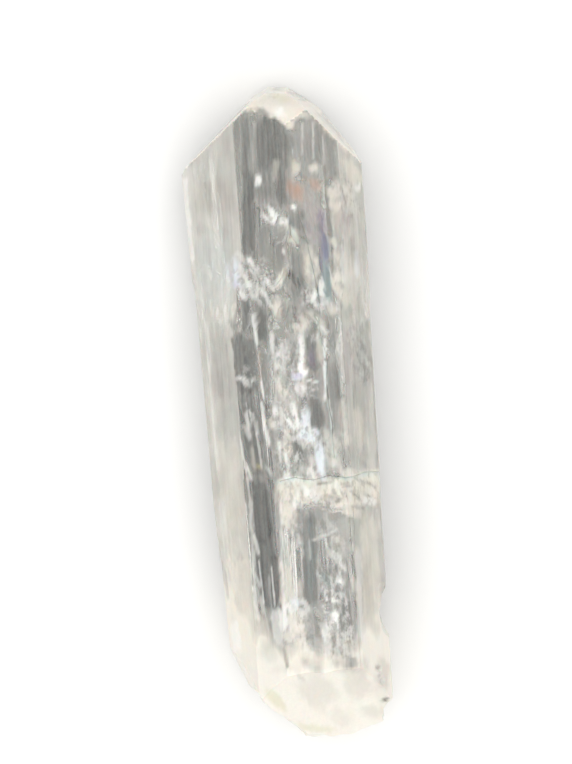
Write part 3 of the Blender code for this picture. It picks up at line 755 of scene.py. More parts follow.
        (287, 126, 291, 128, 5, 0.8), (300, 113, 310, 116, 8, 0.6), (306, 312, 312, 320, 8, 0.5),
        (332, 276, 334, 288, 4, 0.6), (344, 708, 352, 716, 9, 0.5), (246, 660, 262, 666, 7, 0.6),
        (226, 440, 240, 560, 22, 0.4), (238, 560, 250, 650, 24, 0.7), (286, 566, 291, 606, 11, 0.5),
        (317, 108, 350, 150, 12, 0.8), (348, 160, 357, 184, 12, 0.7), (336, 178, 338, 282, 8, 0.4),
        (289, 240, 292, 236, 8, 0.9), (240, 107, 257, 109, 8, 0.9), (306, 246, 313, 284, 10, 0.4),
        (286, 120, 292, 128, 9, 0.9), (334, 200, 336, 212, 9, 0.7), (336, 272, 342, 284, 10, 0.7),
        (342, 472, 364, 478, 12, 0.7), (334, 250, 337, 262, 7, 0.5), (326, 428, 338, 448, 8, 0.6),
        (270, 418, 275, 430, 6, 0.7), (302, 316, 306, 328, 8, 0.6), (368, 516, 374, 640, 18, 0.5),
        (346, 250, 352, 280, 18, 0.3), (288, 390, 292, 425, 22, 0.3), (319, 328, 320, 362, 6, 0.5),
        (304, 356, 304, 392, 6, 0.5), (280, 650, 300, 662, 18, 0.5), (310, 494, 326, 498, 12, 0.8),
        (296, 496, 308, 500, 9, 0.8), (284, 632, 292, 640, 10, 0.7), (298, 640, 310, 658, 13, 0.7),
        (344, 640, 354, 646, 9, 0.6), (288, 120, 300, 112, 9, 0.6), (286, 238, 296, 243, 7, 0.9),
        (338, 284, 346, 306, 9, 0.7), (327, 188, 336, 198, 8, 0.7), (282, 440, 288, 452, 7, 0.5),
        (300, 366, 308, 370, 6, 0.6), (330, 238, 336, 246, 6, 0.6), (286, 228, 296, 238, 10, 0.8),
        (328, 440, 336, 470, 12, 0.5), (251, 446, 254, 470, 4, 0.4), (286, 430, 290, 456, 6, 0.5),
        (354, 484, 380, 500, 18, 0.4), (281, 560, 283, 606, 6, 0.6), (343, 400, 345, 440, 8, 0.4),
        (358, 408, 361, 450, 8, 0.5), (318, 316, 324, 332, 8, 0.6), (298, 580, 301, 598, 6, 0.5),
        (306, 658, 328, 664, 10, 0.7), (277, 378, 283, 396, 8, 0.6), (262, 618, 268, 642, 12, 0.45),
        (298, 652, 322, 657, 9, 0.6), (330, 656, 344, 660, 5, 0.5), (346, 434, 350, 446, 8, 0.5),
        (350, 546, 358, 552, 8, 0.5), (354, 576, 358, 600, 8, 0.5), (328, 304, 336, 314, 8, 0.6),
        (334, 536, 344, 544, 8, 0.5), (284, 444, 290, 452, 6, 0.6), (286, 426, 292, 438, 6, 0.6)]),
    "fleck": ((0.30, 0.29, 0.26), 0.70, 1.5, [
        (249, 109, 253, 110, 4, 0.8), (300, 484, 303, 494, 3, 0.6), (316, 484, 334, 481, 3, 0.8),
        (320, 498, 327, 494, 3, 0.4), (326, 505, 341, 499, 4, 0.9), (340, 490, 346, 496, 3, 0.7),
        (340, 484, 352, 486, 3, 0.7), (350, 490, 360, 500, 3, 0.8), (353, 478, 364, 482, 3, 0.7),
        (362, 492, 372, 498, 3, 0.7), (310, 488, 316, 502, 3, 0.7), (366, 482, 376, 488, 3, 0.6),
        (332, 488, 336, 496, 3, 0.6), (288, 500, 296, 506, 3, 0.5), (350, 505, 364, 508, 3, 0.6),
        (284, 484, 290, 488, 3, 0.4)]),
    # White wisps and pale lines, and painted highlights: the strongest small white spots are painted
    # glints
    "whiteAndHighlight": ((0.95, 0.95, 0.92), 0.84, 2, [
        (184, 178, 191, 262, 6, 0.6), (234, 622, 238, 652, 8, 0.5), (258, 174, 258, 186, 6, 0.95),
        (357, 184, 359, 192, 6, 0.8), (262, 214, 272, 222, 6, 0.75), (268, 207, 279, 227, 5, 0.8),
        (270, 214, 288, 222, 7, 0.75), (241, 264, 248, 286, 5, 0.7), (248, 258, 253, 264, 5, 0.7),
        (250, 262, 270, 284, 6, 0.7), (262, 276, 272, 288, 6, 0.75), (243, 282, 262, 292, 8, 0.6),
        (240, 290, 246, 300, 5, 0.8), (262, 290, 272, 308, 5, 0.6), (312, 292, 314, 300, 8, 0.85),
        (321, 290, 323, 297, 6, 0.85), (305, 300, 320, 306, 5, 0.6), (284, 342, 286, 362, 8, 0.4),
        (301, 338, 301, 372, 5, 0.75), (296, 384, 304, 394, 9, 0.6), (306, 381, 318, 381, 2.5, 0.8),
        (306, 389, 317, 390, 2.5, 0.6), (325, 338, 325, 402, 3, 0.8), (275, 406, 277, 424, 6, 0.7),
        (287, 414, 295, 432, 5, 0.8), (292, 400, 298, 428, 5, 0.6), (277, 440, 281, 454, 4, 0.8),
        (284, 448, 290, 476, 4, 0.5), (261, 402, 270, 446, 4, 0.75), (256, 432, 262, 470, 2, 0.5),
        (252, 314, 257, 346, 3, 0.7), (239, 282, 243, 292, 5, 0.5), (279, 350, 283, 372, 5, 0.5),
        (248, 466, 249, 480, 4, 0.5), (256, 420, 257, 436, 4, 0.5), (314, 442, 318, 452, 6, 0.5),
        (334, 558, 340, 568, 6, 0.5), (261, 380, 264, 400, 2.5, 0.9), (240, 436, 250, 500, 2, 0.5),
        (250, 500, 258, 620, 4, 0.5), (282, 608, 284, 630, 8, 0.85), (312, 541, 337, 530, 3, 0.5),
        (337, 560, 346, 570, 5, 0.6), (326, 598, 338, 602, 4, 0.8), (322, 606, 330, 604, 3, 0.6),
        (280, 500, 284, 610, 3, 0.5), (329, 400, 332, 430, 2.5, 0.5), (253, 116, 253, 162, 2.5, 0.12),
        (302, 122, 302, 156, 2, 0.4), (313, 122, 313, 160, 2, 0.45), (323, 134, 324, 166, 2, 0.3),
        (246, 410, 248, 424, 3, 0.6), (238, 376, 240, 380, 6, 0.6), (337, 582, 342, 582, 6, 1.0),
        (334, 612, 338, 622, 7, 0.95), (291, 207, 296, 207, 6, 1.0), (302, 372, 307, 373, 7, 1.0),
        (277, 108, 281, 117, 9, 0.9), (283, 248, 284, 254, 3, 0.7), (278, 242, 279, 244, 3, 0.6),
        (320, 278, 323, 290, 7, 0.8), (322, 298, 327, 304, 7, 0.8), (308, 466, 313, 478, 8, 0.7),
        (276, 352, 278, 370, 6, 0.6), (326, 620, 334, 630, 8, 0.7), (330, 552, 340, 560, 7, 0.5),
        (259, 560, 264, 604, 1.6, 0.6), (271, 566, 275, 606, 1.6, 0.6), (274, 610, 281, 646, 8, 0.6),
        (268, 576, 273, 620, 2.5, 0.25), (358, 550, 360, 640, 6, 0.4), (238, 378, 254, 380, 2.5, 0.5),
        (244, 412, 249, 430, 3, 0.5), (246, 462, 252, 480, 2, 0.5), (318, 326, 328, 334, 6, 0.5),
        (302, 600, 310, 612, 6, 0.6), (238, 252, 246, 262, 6, 0.5), (248, 286, 256, 300, 6, 0.6),
        (285, 474, 292, 482, 8, 0.7), (320, 630, 326, 638, 6, 0.6), (256, 574, 261, 588, 3, 0.5),
        (298, 608, 306, 618, 7, 0.6), (271, 330, 274, 360, 4, 0.6), (275, 362, 276, 402, 3, 0.4),
        (301, 333, 302, 370, 6, 0.6), (294, 404, 300, 430, 4, 0.6), (284, 408, 291, 426, 3, 0.6),
        (300, 430, 310, 446, 6, 0.7), (309, 540, 310, 560, 2, 0.4), (240, 376, 250, 386, 7, 0.5),
        (244, 425, 250, 440, 5, 0.5), (337, 576, 342, 588, 8, 0.5), (334, 616, 338, 630, 7, 0.6),
        (304, 490, 318, 500, 9, 0.7), (362, 500, 376, 502, 7, 0.6), (284, 606, 294, 612, 8, 0.7),
        (292, 500, 300, 507, 8, 0.7), (260, 596, 264, 616, 4, 0.5), (305, 424, 312, 432, 7, 0.7),
        (321, 622, 328, 640, 8, 0.6), (298, 438, 304, 448, 6, 0.5), (310, 456, 314, 466, 6, 0.5),
        (266, 466, 272, 474, 4, 0.5), (254, 534, 259, 556, 3, 0.6)]),
    # Painted highlights: bluish-white glints
    "ice": ((0.84, 0.89, 0.96), 0.82, 3.5, [
        (236, 258, 237, 288, 7, 0.9), (238, 270, 240, 288, 5, 0.5), (212, 236, 217, 304, 34, 0.22),
        (228, 262, 230, 284, 8, 0.4), (306, 410, 304, 430, 8, 0.9), (298, 433, 318, 440, 8, 0.85),
        (312, 428, 320, 436, 6, 0.8), (318, 440, 322, 478, 9, 0.9), (292, 600, 300, 606, 9, 0.7),
        (342, 244, 343, 284, 3, 0.3), (356, 250, 357, 278, 4, 0.4)]),
    # Painted highlights: a lavender glint and a bluish-white patch
    "lilacHighlight": ((0.66, 0.64, 0.84), 0.75, 3, [
        (291, 376, 303, 376, 8, 0.85), (234, 280, 238, 288, 6, 0.5)]),
}

# Where the skin is mottled by crazed veils: strokes as above, and how soft they are
mottled = [
    (262, 206, 286, 222, 20, 0.6), (244, 262, 278, 300, 34, 0.8), (272, 290, 292, 264, 12, 0.5),
    (300, 292, 330, 308, 22, 0.9), (286, 318, 326, 334, 26, 0.6), (340, 180, 356, 214, 20, 0.6),
    (282, 340, 288, 400, 22, 0.7), (298, 334, 302, 400, 14, 0.5), (288, 384, 318, 392, 14, 0.8),
    (278, 404, 300, 440, 30, 0.9), (299, 408, 306, 440, 12, 0.6), (282, 440, 296, 480, 28, 0.8),
    (300, 440, 332, 452, 16, 0.6), (326, 436, 338, 470, 14, 0.5), (280, 494, 380, 488, 38, 0.5),
    (292, 520, 300, 560, 12, 0.8), (322, 520, 340, 560, 22, 0.6), (329, 560, 344, 650, 27, 0.9),
    (300, 612, 310, 650, 18, 0.6), (284, 606, 296, 640, 14, 0.4), (352, 324, 366, 384, 18, 0.45),
    (268, 300, 272, 340, 8, 0.4), (242, 370, 258, 384, 12, 0.7), (246, 402, 254, 424, 10, 0.7),
    (332, 332, 340, 360, 12, 0.5), (318, 650, 352, 656, 12, 0.5),
]
mottledSoft = 5


def strokeShare(x, y, stroke, soft, ragged):
    # Full inside the stroke's width and none outside it, with soft edges and ends, a line that
    # wanders, and noise where it is thin
    x0, y0, x1, y1, width, strength = stroke
    length = math.hypot(x1 - x0, y1 - y0)
    alongX, alongY = (x1 - x0) / length, (y1 - y0) / length
    t = (x - x0) * alongX + (y - y0) * alongY
    wander = (noise("strokeLine", x, y) - 0.5) * min(0.5 * width, 3.0)
    aside = np.abs((y - y0) * alongX - (x - x0) * alongY + wander)
    edge = min(soft, 0.5 * width)
    across = 1 - rise(aside, 0.5 * width - edge, 0.5 * width + edge)
    end = min(2 * edge + 0.3 * width, 0.45 * length + 1)
    share = across * rise(t, -end, end) * (1 - rise(t, length - end, length + end))
    rough = 1.2 / (1 + soft / 4) * (ragged - 0.5) * np.minimum(1, 3 * share)
    return strength * rise(share + rough, 0.05, 0.95)


def frostAndMilk(points, normals):
    # Frost by the prism face that a point is nearest to, milk towards the broken base, and milk
    # on the tip, which thins out towards the back but not at the worn edges. A point is as far
    # from an edge as from the second nearest plane.
    along = points[:, 1]
    room = planeDistances(along).T - points @ planeNormals.T
    nearest = np.argmin(room[:, :len(faceNormals)], axis=1)
    frost = np.array([face.frost for face in crystal["faces"]])[nearest]
    cover = frost * (1 + skin["frostVaries"] * (noise("frost", points[:, 0], along) - 0.5))
    ragged = noise("milk", points[:, 0], along) - 0.5
    bowMiddle, bow = skin["milkBow"]
    edge = skin["milkEdge"] + skin["milkRagged"] * ragged + bow * (points[:, 0] - bowMiddle) ** 2
    fadeLow, fadeHigh = skin["milkFade"]
    broken = rise(-normals[:, 1], *skin["brokenFacing"]) * (along < crystal["baseEnds"])
    milk = np.maximum(1 - rise(along, edge + fadeLow, edge + fadeHigh), broken)
    cover = cover + (skin["baseMilk"] - cover) * milk
    onTip = (normals[:, 1] > crystal["tipFacing"]) & (along > crystal["tipStarts"])
    toEdge = np.sort(room, axis=1)[:, 1] + skin["tipWornRagged"] * ragged
    milky = np.maximum(rise(points[:, 2] + skin["tipMilkRagged"] * ragged, *skin["tipMilkFades"]),
                       1 - rise(toEdge, *skin["tipWornEdge"]))
    tipCover = skin["tipBackMilk"] + (skin["tipMilk"] - skin["tipBackMilk"]) * milky
    cover = np.where(onTip, tipCover, cover)
    milk = np.maximum(milk, onTip)[:, None]
    tint = (1 - milk) * np.array(skin["frostColour"]) + milk * np.array(skin["milkColour"])
    return cover, tint * (1 + skin["brokenPaler"] * broken[:, None])


def paintSkin(mesh):
    # How much of each point the skin covers, in what colour, and where it is mottled: frost and milk,
    # then the strokes on what faces the front, which lay painted shade and painted highlights as well as
    # the crystal's own tones
    points, normals = np.empty((2, len(mesh.vertices) * 3))
    mesh.vertices.foreach_get("co", points)
    mesh.vertices.foreach_get("normal", normals)
    points = points.reshape(-1, 3) / mm
    normals = normals.reshape(-1, 3)
    cover, tint = frostAndMilk(points, normals)
    x, y = photoPixels(points + crystalShift)
    front = rise(normals[:, 2], 0.0, 0.2)
    ragged = 0.6 * noise("strokeEdge", x, y) + 0.4 * noise("fineStrokeEdge", x, y)
    for tone, share, soft, strokes in tones.values():
        for stroke in strokes:
            laid = strokeShare(x, y, stroke, soft, ragged) * front
            cover = np.maximum(cover, cover + (share - cover) * laid)
            tint = tint + (np.array(tone) - tint) * laid[:, None]
    mottle = np.max([strokeShare(x, y, stroke, mottledSoft, ragged) for stroke in mottled], axis=0)
    setValues(mesh, "cover", cover)
    setValues(mesh, "mottle", mottle * front)
    layer = mesh.attributes.new("tint", "FLOAT_COLOR", "POINT")
    layer.data.foreach_set("color", np.c_[tint, np.ones(len(tint))].astype(np.float32).ravel())


def makeBody():
    points, rows, columns = bodyGrid()
    pole = len(points) - 1
    first = np.arange(columns)
    fan = [(pole, int(b), int(a)) for a, b in zip(first, np.roll(first, -1))]
    last = ((rows - 1) * columns + first).tolist()
    faces = gridFaces(rows, columns, closed=True).tolist() + fan + [last]
    data = newMesh("crystal_body", points, faces)
    mesh = bmesh.new()
    mesh.from_mesh(data)
    cutTip(mesh)
    bmesh.ops.recalc_face_normals(mesh, faces=mesh.faces)
    loose = [vertex for vertex in mesh.verts if not vertex.link_faces]
    bmesh.ops.delete(mesh, geom=loose, context="VERTS")
    mesh.to_mesh(data)
    data = crackOpen(data)
    mesh.clear()
    mesh.from_mesh(data)
    openEdges = sum(1 for edge in mesh.edges if len(edge.link_faces) != 2)
    mesh.free()
    paintSkin(data)
    data.transform(Matrix.Translation(Vector(crystalShift) * mm))
    data.materials.clear()
    data.materials.append(crystalMaterial())
    body = newObject("crystal_body", data)
    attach(body, "root")
    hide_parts("danburite_crystal")
    print("body made:", len(data.polygons), "faces,", openEdges, "open edges")


makeBody()


# What lies inside it. A place is given as a pixel of the photograph and a depth under the
# surface, and sits where a line of sight through that pixel goes once the crystal bends it.

def underSurface(pixelX, pixelY, under, margin=0.12, grazing=0.02):
    # Straight to the first face on the way, of those that it doesn't graze, then along the bent
    # line d / n + (cos(i) / n - cos(t)) * normal, and kept a margin in mm inside every face
    ior = crystal["ior"]
    right, up, away = cameraAxes()
    across = (pixelX - view["targetAt"][0]) * view["pixel"]
    down = (pixelY - view["targetAt"][1]) * view["pixel"]
    target = np.array(view["target"]) - crystalShift
    point = target + across[..., None] * right - down[..., None] * up
    sight = unit(point - (target + away * view["distance"]))

    def roomAt(places, base):
        return np.moveaxis(planeDistances(places[..., 1]), 0, -1) - base @ planeNormals.T

    # The prism tapers, so the place where the sight enters is found in turns
    facing = -sight @ planeNormals.T
    entry = point
    for again in range(3):
        reach = roomAt(entry, point) / np.maximum(facing, grazing)
        reach = np.where(facing > grazing, reach, np.inf)
        nearest = np.argmin(reach, axis=-1)
        entry = point - sight * np.min(reach, axis=-1)[..., None]
    normal = planeNormals[nearest]
    cosIn = -np.sum(sight * normal, axis=-1, keepdims=True)
    cosBent = np.sqrt(1 - (1 - cosIn ** 2) / ior ** 2)
    bent = sight / ior + (cosIn / ior - cosBent) * normal
    found = entry + bent * np.asarray(under)[..., None]
    for again in range(3):
        room = roomAt(found, found)
        over = np.maximum(margin - np.min(room, axis=-1), 0)
        found = found - planeNormals[np.argmin(room, axis=-1)] * over[..., None]
    return found, normal


def addInside(name, points, faces, material):
    piece = newObject(name, newMesh(name, points + crystalShift, faces.tolist()))
    piece.data.materials.append(material)
    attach(piece, "root")
    return piece


growthLinesAndShade = {
    # Each bundle: its two ends in pixels, its width in pixels, its tone from dark to pale, and how many
    # lines it has. The dark bundles are painted shade, dark lines laid where the clear crystal shows dark
    # streaks by refraction.
    "bundles": [
        # under the top of the front left and front right faces, the darker bundles painted shade
        (247, 122, 248, 182, 11, 0.30, 16), (254, 118, 255, 172, 1.5, 0.6, 2),
        (268, 118, 269, 186, 22, 0.28, 30), (281, 132, 282, 216, 11, 0.24, 16),
        (297, 128, 298, 164, 12, 0.42, 12), (309, 122, 310, 168, 10, 0.42, 12),
        (319, 131, 320, 172, 9, 0.42, 9), (330, 141, 331, 176, 10, 0.45, 9),
        (302, 121, 303, 158, 1.5, 0.95, 2), (313, 126, 314, 160, 1.5, 0.95, 2),
        (323, 136, 324, 166, 1.5, 0.90, 2), (291, 134, 292, 160, 1.5, 0.90, 2),
        # dark streak of the upper part, laid with dark lines as painted shade, and the patches beside it
        (248, 170, 249, 262, 13, 0.08, 34), (263, 180, 264, 262, 15, 0.34, 18),
        (293, 202, 294, 232, 14, 0.20, 12), (278, 230, 279, 270, 8, 0.28, 8),
        (294, 246, 296, 312, 14, 0.20, 20), (300, 306, 300, 330, 8, 0.45, 6),
        # dark streak of the middle, laid with dark lines as painted shade, with pale lines in it
        (246, 296, 250, 336, 7, 0.12, 10), (260, 298, 263, 352, 10, 0.16, 14),
        (252, 312, 257, 346, 2.2, 1.0, 2), (257, 345, 263, 395, 1.6, 1.0, 2),
        (240, 328, 256, 478, 19, 0.10, 60), (259, 380, 269, 480, 12, 0.24, 18),
        (248, 392, 256, 440, 2, 0.9, 2), (262, 410, 268, 470, 2, 0.95, 3),
        (275, 332, 279, 390, 3, 0.25, 4), (268, 330, 272, 400, 6, 0.75, 6),
        # dark streak of the lower part, laid with dark lines as painted shade, and the pale one on its
        # right
        (260, 470, 273, 616, 24, 0.08, 80), (250, 475, 260, 640, 3, 0.35, 5),
        (274, 480, 280, 560, 5, 0.55, 6), (286, 512, 292, 645, 14, 0.97, 26),
        (268, 600, 274, 650, 12, 0.50, 10),
        # right of the middle
        (312, 320, 314, 376, 12, 0.20, 18), (334, 312, 336, 356, 6, 0.22, 8),
        (331, 368, 337, 436, 12, 0.32, 16), (314, 392, 323, 436, 14, 0.22, 18),
        (323, 338, 326, 402, 2, 1.0, 3), (296, 436, 300, 470, 12, 0.30, 10),
        (309, 504, 313, 608, 20, 0.20, 44), (322, 498, 330, 604, 14, 0.38, 20),
        (342, 556, 350, 652, 16, 0.42, 24), (304, 600, 310, 645, 14, 0.50, 10),
        # beside the right edge
        (357, 330, 367, 470, 16, 0.50, 16), (350, 236, 354, 268, 12, 0.45, 8),
        # a hairline over the base
        (281, 636, 288, 668, 1.0, 0.0, 1),
    ],
    "depth": (0.15, 1.0),            # mm under the faces, whose striations they are; the dark ones are painted shade
    "tilt": 0.2,                     # radians to either side
    "length": (0.25, 1.0),           # share of its bundle
    "width": (0.5, 0.26),            # pixels of the thinnest line, and share of its bundle
    "few": 4,                        # with fewer lines than this, each is as long and wide as it
    "toneVaries": 0.15,
    "wobble": 0.5,                   # pixels
    "thickness": 0.012,              # mm
    "taper": 0.4,
    "leastHalf": 0.004,              # mm, half the width at its ends
    "steps": 14,
    "seed": 5,
    # From the painted shade of the dark lines to the pale ones
    "stops": [(0.0, (0.12, 0.125, 0.125)), (0.3, (0.27, 0.275, 0.27)),
              (0.6, (0.56, 0.555, 0.54)), (1.0, (0.97, 0.965, 0.94))],
}


def lineMaterial():
    # Flat hollow growth lines, which mirror what is round them: pale ones, and dark ones whose dark
    # colour is painted shade
    material, nodes = newMaterial("growthLineAndShade")
    lines = nodes.noise(nodes.place(), (0.10, 2.5, 0.10))
    shade = (nodes.attribute("tone") + (lines - 0.5) * 0.35).atLeast(0.0).atMost(1.0)
    nodes.surface(nodes.shader({"Base Color": nodes.ramp(shade, growthLinesAndShade["stops"]),
                                "Metallic": 0.9, "Roughness": shade.step(0.0, 1.0, 0.2, 0.35)}))
    return material


def scatterLines():
    # Both ends, the width, the tone, the depth and the tilt of every line, at random in its bundle
    rng = np.random.default_rng(growthLinesAndShade["seed"])
    thinnest, thickest = growthLinesAndShade["width"]
    shortest, longest = growthLinesAndShade["length"]
    rows = []
    for x0, y0, x1, y1, width, tone, count in growthLinesAndShade["bundles"]:
        few = count < growthLinesAndShade["few"]
        for number in range(count):
            length = 1.0 if few else rng.uniform(shortest, longest)
            start = 0.0 if few else rng.uniform(0.0, 1.0 - length)
            aside = (rng.random() - 0.5) * width
            wide = width if few else rng.uniform(thinnest, max(2 * thinnest, thickest * width))
            ends = [(x0 + aside + (x1 - x0) * place, y0 + (y1 - y0) * place)
                    for place in (start, start + length)]
            rows.append((*ends[0], *ends[1], wide, tone + rng.normal(0, growthLinesAndShade["toneVaries"]),
                         rng.uniform(*growthLinesAndShade["depth"]),
                         rng.uniform(-growthLinesAndShade["tilt"], growthLinesAndShade["tilt"])))
    return np.array(rows)


def makeGrowthLinesAndShade():
    # Each line is a flat spindle: its width follows sin(pi t) ^ taper along it, and its six-sided
    # profile turns by a fixed angle about the line
    rows = scatterLines()
    x0, y0, x1, y1, width, tone, depth, tilt = rows.T[:, :, None]
    steps = growthLinesAndShade["steps"]
    t = np.linspace(0, 1, steps)[None, :]
    number = np.arange(len(rows))[:, None]
    wobble = growthLinesAndShade["wobble"] * (noise("wobble", t + 0.2 * number, depth) - 0.5)
    points, normal = underSurface(x0 + (x1 - x0) * t + wobble, y0 + (y1 - y0) * t, depth + 0 * t)
    middle = normal[:, steps // 2, None, :]
    side = unit(np.cross([0.0, 1.0, 0.0], middle))
    broad = side * np.cos(tilt)[..., None] + middle * np.sin(tilt)[..., None]
    thin = middle * np.cos(tilt)[..., None] - side * np.sin(tilt)[..., None]
    spindle = np.maximum(np.sin(math.pi * t), 0.0) ** growthLinesAndShade["taper"]
    half = np.maximum(0.5 * width * view["pixel"] * spindle, growthLinesAndShade["leastHalf"])
    angle = (np.arange(6) * math.pi / 3)[:, None]
    ring = (points[:, :, None, :] + broad[:, :, None, :] * half[..., None, None] * np.cos(angle)
            + thin[:, :, None, :] * growthLinesAndShade["thickness"] * np.sin(angle))
    size = steps * 6
    ends = np.array([[0, 1, 2, 3], [0, 3, 4, 5]])
    one = np.concatenate([gridFaces(steps, 6, closed=True), ends[:, ::-1], ends + size - 6])
    faces = (one + size * number[..., None]).reshape(-1, 4)
    piece = addInside("growth_lines_and_shade", ring.reshape(-1, 3), faces, lineMaterial())
    setValues(piece.data, "tone", np.repeat(np.clip(tone[:, 0], 0, 1), size))
    print("growth lines made:", len(rows))


makeGrowthLinesAndShade()


# Each veil of crazed cracks: its material's name, its pale and deep colours, its gloss, its seed,
# and its strips, with their two ends and width in pixels, how much of the strip is there, the
# size of its flakes in pixels, its depth and how far its depth varies in mm
veils = {
    "upper_veil": {
        "material": "upperVeil", "pale": (0.93, 0.92, 0.89), "deep": (0.55, 0.54, 0.52),
        "gloss": 0.25, "seed": 100, "strips": [
            (235, 258, 237, 290, 8, 0.85, 4.0, 1.2, 0.12), (240, 284, 270, 268, 30, 0.62, 4.0, 1.6, 0.24),
            (241, 262, 246, 300, 12, 0.62, 3.5, 1.4, 0.20),
            (262, 262, 272, 300, 11, 0.55, 3.0, 1.8, 0.20), (274, 288, 291, 265, 9, 0.95, 5.0, 1.6, 0.12),
            (260, 204, 285, 226, 11, 0.80, 5.0, 1.5, 0.20),
            (280, 216, 305, 244, 14, 0.80, 5.0, 1.7, 0.20), (274, 236, 285, 264, 10, 0.5, 2.5, 1.8, 0.24),
            (304, 286, 328, 308, 18, 0.66, 3.0, 1.4, 0.20),
            (298, 330, 324, 300, 12, 0.62, 3.0, 1.6, 0.24), (257, 170, 258, 188, 7, 0.95, 4.0, 1.2, 0.10),
            (275, 160, 276, 186, 8, 0.75, 4.0, 1.3, 0.14), (295, 152, 296, 180, 10, 0.75, 4.0, 1.2, 0.14),
            (315, 160, 316, 177, 9, 0.85, 4.0, 1.2, 0.12), (306, 234, 314, 287, 11, 0.60, 5.0, 1.6, 0.16),
            (336, 176, 350, 222, 16, 0.50, 4.0, 1.0, 0.20), (352, 180, 358, 200, 8, 0.80, 4.0, 0.8, 0.10),
            (268, 296, 276, 330, 9, 0.55, 4.0, 1.7, 0.2)]},
    "middle_veil": {
        "material": "middleVeil", "pale": (0.93, 0.94, 0.95), "deep": (0.50, 0.51, 0.51),
        "gloss": 0.22, "seed": 300, "strips": [
            (282, 335, 292, 404, 22, 0.66, 3.0, 1.8, 0.26), (299, 333, 302, 372, 6, 0.9, 5.0, 1.5, 0.12),
            (297, 366, 300, 386, 14, 0.88, 3.5, 1.6, 0.18),
            (292, 382, 324, 398, 16, 0.55, 2.4, 1.5, 0.22),
            (278, 400, 288, 442, 18, 0.72, 2.6, 1.6, 0.24), (292, 400, 302, 432, 12, 0.75, 4.0, 1.6, 0.2),
            (304, 402, 318, 442, 14, 0.80, 4.0, 1.5, 0.18),
            (282, 440, 292, 482, 18, 0.66, 2.8, 1.7, 0.26),
            (317, 428, 324, 480, 10, 0.95, 6.0, 1.3, 0.10),
            (300, 430, 332, 443, 12, 0.85, 3.5, 1.4, 0.18), (330, 430, 335, 474, 8, 0.55, 3.0, 1.5, 0.18),
            (300, 440, 304, 480, 22, 0.45, 3.0, 2.2, 0.3), (266, 340, 272, 440, 8, 0.5, 4.0, 1.8, 0.2),
            (296, 340, 308, 470, 46, 0.30, 5.0, 2.6, 0.3)]},
    "healed_band": {
        "material": "healedBand", "pale": (0.97, 0.94, 0.88), "deep": (0.80, 0.76, 0.70),
        "gloss": 0.32, "seed": 500, "strips": [
            (278, 497, 334, 494, 38, 0.92, 4.5, 1.5, 0.22),
            (326, 497, 383, 487, 34, 0.85, 3.6, 0.9, 0.18), (340, 508, 362, 509, 18, 0.8, 3.5, 1.1, 0.18),
            (281, 515, 290, 562, 12, 0.75, 3.5, 1.5, 0.16),
            (360, 476, 382, 472, 12, 0.6, 3.0, 0.8, 0.16)]},
    "lower_veil": {
        "material": "lowerVeil", "pale": (0.93, 0.93, 0.91), "deep": (0.52, 0.53, 0.53),
        "gloss": 0.25, "seed": 700, "strips": [
            (296, 547, 338, 527, 7, 0.75, 4.0, 1.3, 0.16), (322, 556, 352, 602, 26, 0.55, 3.2, 1.5, 0.26),
            (320, 600, 346, 642, 24, 0.66, 3.8, 1.5, 0.24),
            (283, 608, 294, 660, 28, 0.90, 6.0, 1.6, 0.16),
            (334, 576, 345, 588, 10, 0.95, 4.0, 1.2, 0.08),
            (331, 610, 339, 630, 10, 0.95, 4.0, 1.2, 0.08), (296, 642, 352, 654, 18, 0.62, 3.4, 1.4, 0.2),
            (300, 560, 306, 600, 8, 0.35, 3.0, 1.4, 0.2), (262, 616, 268, 656, 16, 0.5, 5.0, 1.5, 0.16)]},
}

# The same for the stains
stains = {
    "rust_stain": {
        "material": "rustStain", "pale": (0.72, 0.58, 0.50), "deep": (0.48, 0.36, 0.30),
        "gloss": 0.35, "seed": 920, "strips": [
            (288, 190, 303, 190, 18, 0.7, 4.0, 1.3, 0.16), (309, 184, 322, 186, 13, 0.7, 4.0, 1.2, 0.16),
            (300, 176, 312, 180, 10, 0.4, 3.0, 1.3, 0.16)]},
    "yellow_stain": {
        "material": "yellowStain", "pale": (0.80, 0.70, 0.35), "deep": (0.60, 0.50, 0.25),
        "gloss": 0.35, "seed": 940, "strips": [
            (256, 466, 263, 467, 6, 0.9, 4.0, 1.2, 0.1)]},
}

# A thin open crack whose colour changes with its width: violet at its wide end, through blue to
# teal where it closes
rainbowCrack = {
    "stops": [(0.0, (0.26, 0.38, 0.37)), (0.35, (0.20, 0.27, 0.34)), (0.65, (0.17, 0.18, 0.30)),
              (1.0, (0.30, 0.25, 0.32))],
    "along": (9.5, 16.0),            # mm along the crystal, of its closed and its wide end
    "seed": 900,
    "strips": [
        (321, 232, 328, 302, 10, 1.0, 8.0, 1.2, 0.06),
    ],
}

flakes = {
    "spacing": 0.8,                  # pixels between a veil's points
    "repeat": (256, 256),            # cells
    "rimRagged": 0.35,
    "thickness": 0.015,              # mm
}


def veilMaterial(veil):
    # Crazed cracks, which mirror the light: each flake of a crack is a little different
    material, nodes = newMaterial(veil["material"])
    place = nodes.place()
    cloud = nodes.noise(place, (0.5, 0.8, 0.5), 3.0)
    grain = nodes.noise(place, (0.10, 0.16, 0.10))
    mixed = (cloud * 0.6 + grain * 0.4).step(0.35, 0.65)
    nodes.surface(nodes.shader({
        "Base Color": nodes.blend(mixed, colour(*veil["deep"]), colour(*veil["pale"])),
        "Metallic": 0.6, "Roughness": mixed.step(0.0, 1.0, veil["gloss"], veil["gloss"] + 0.15)}))
    return material


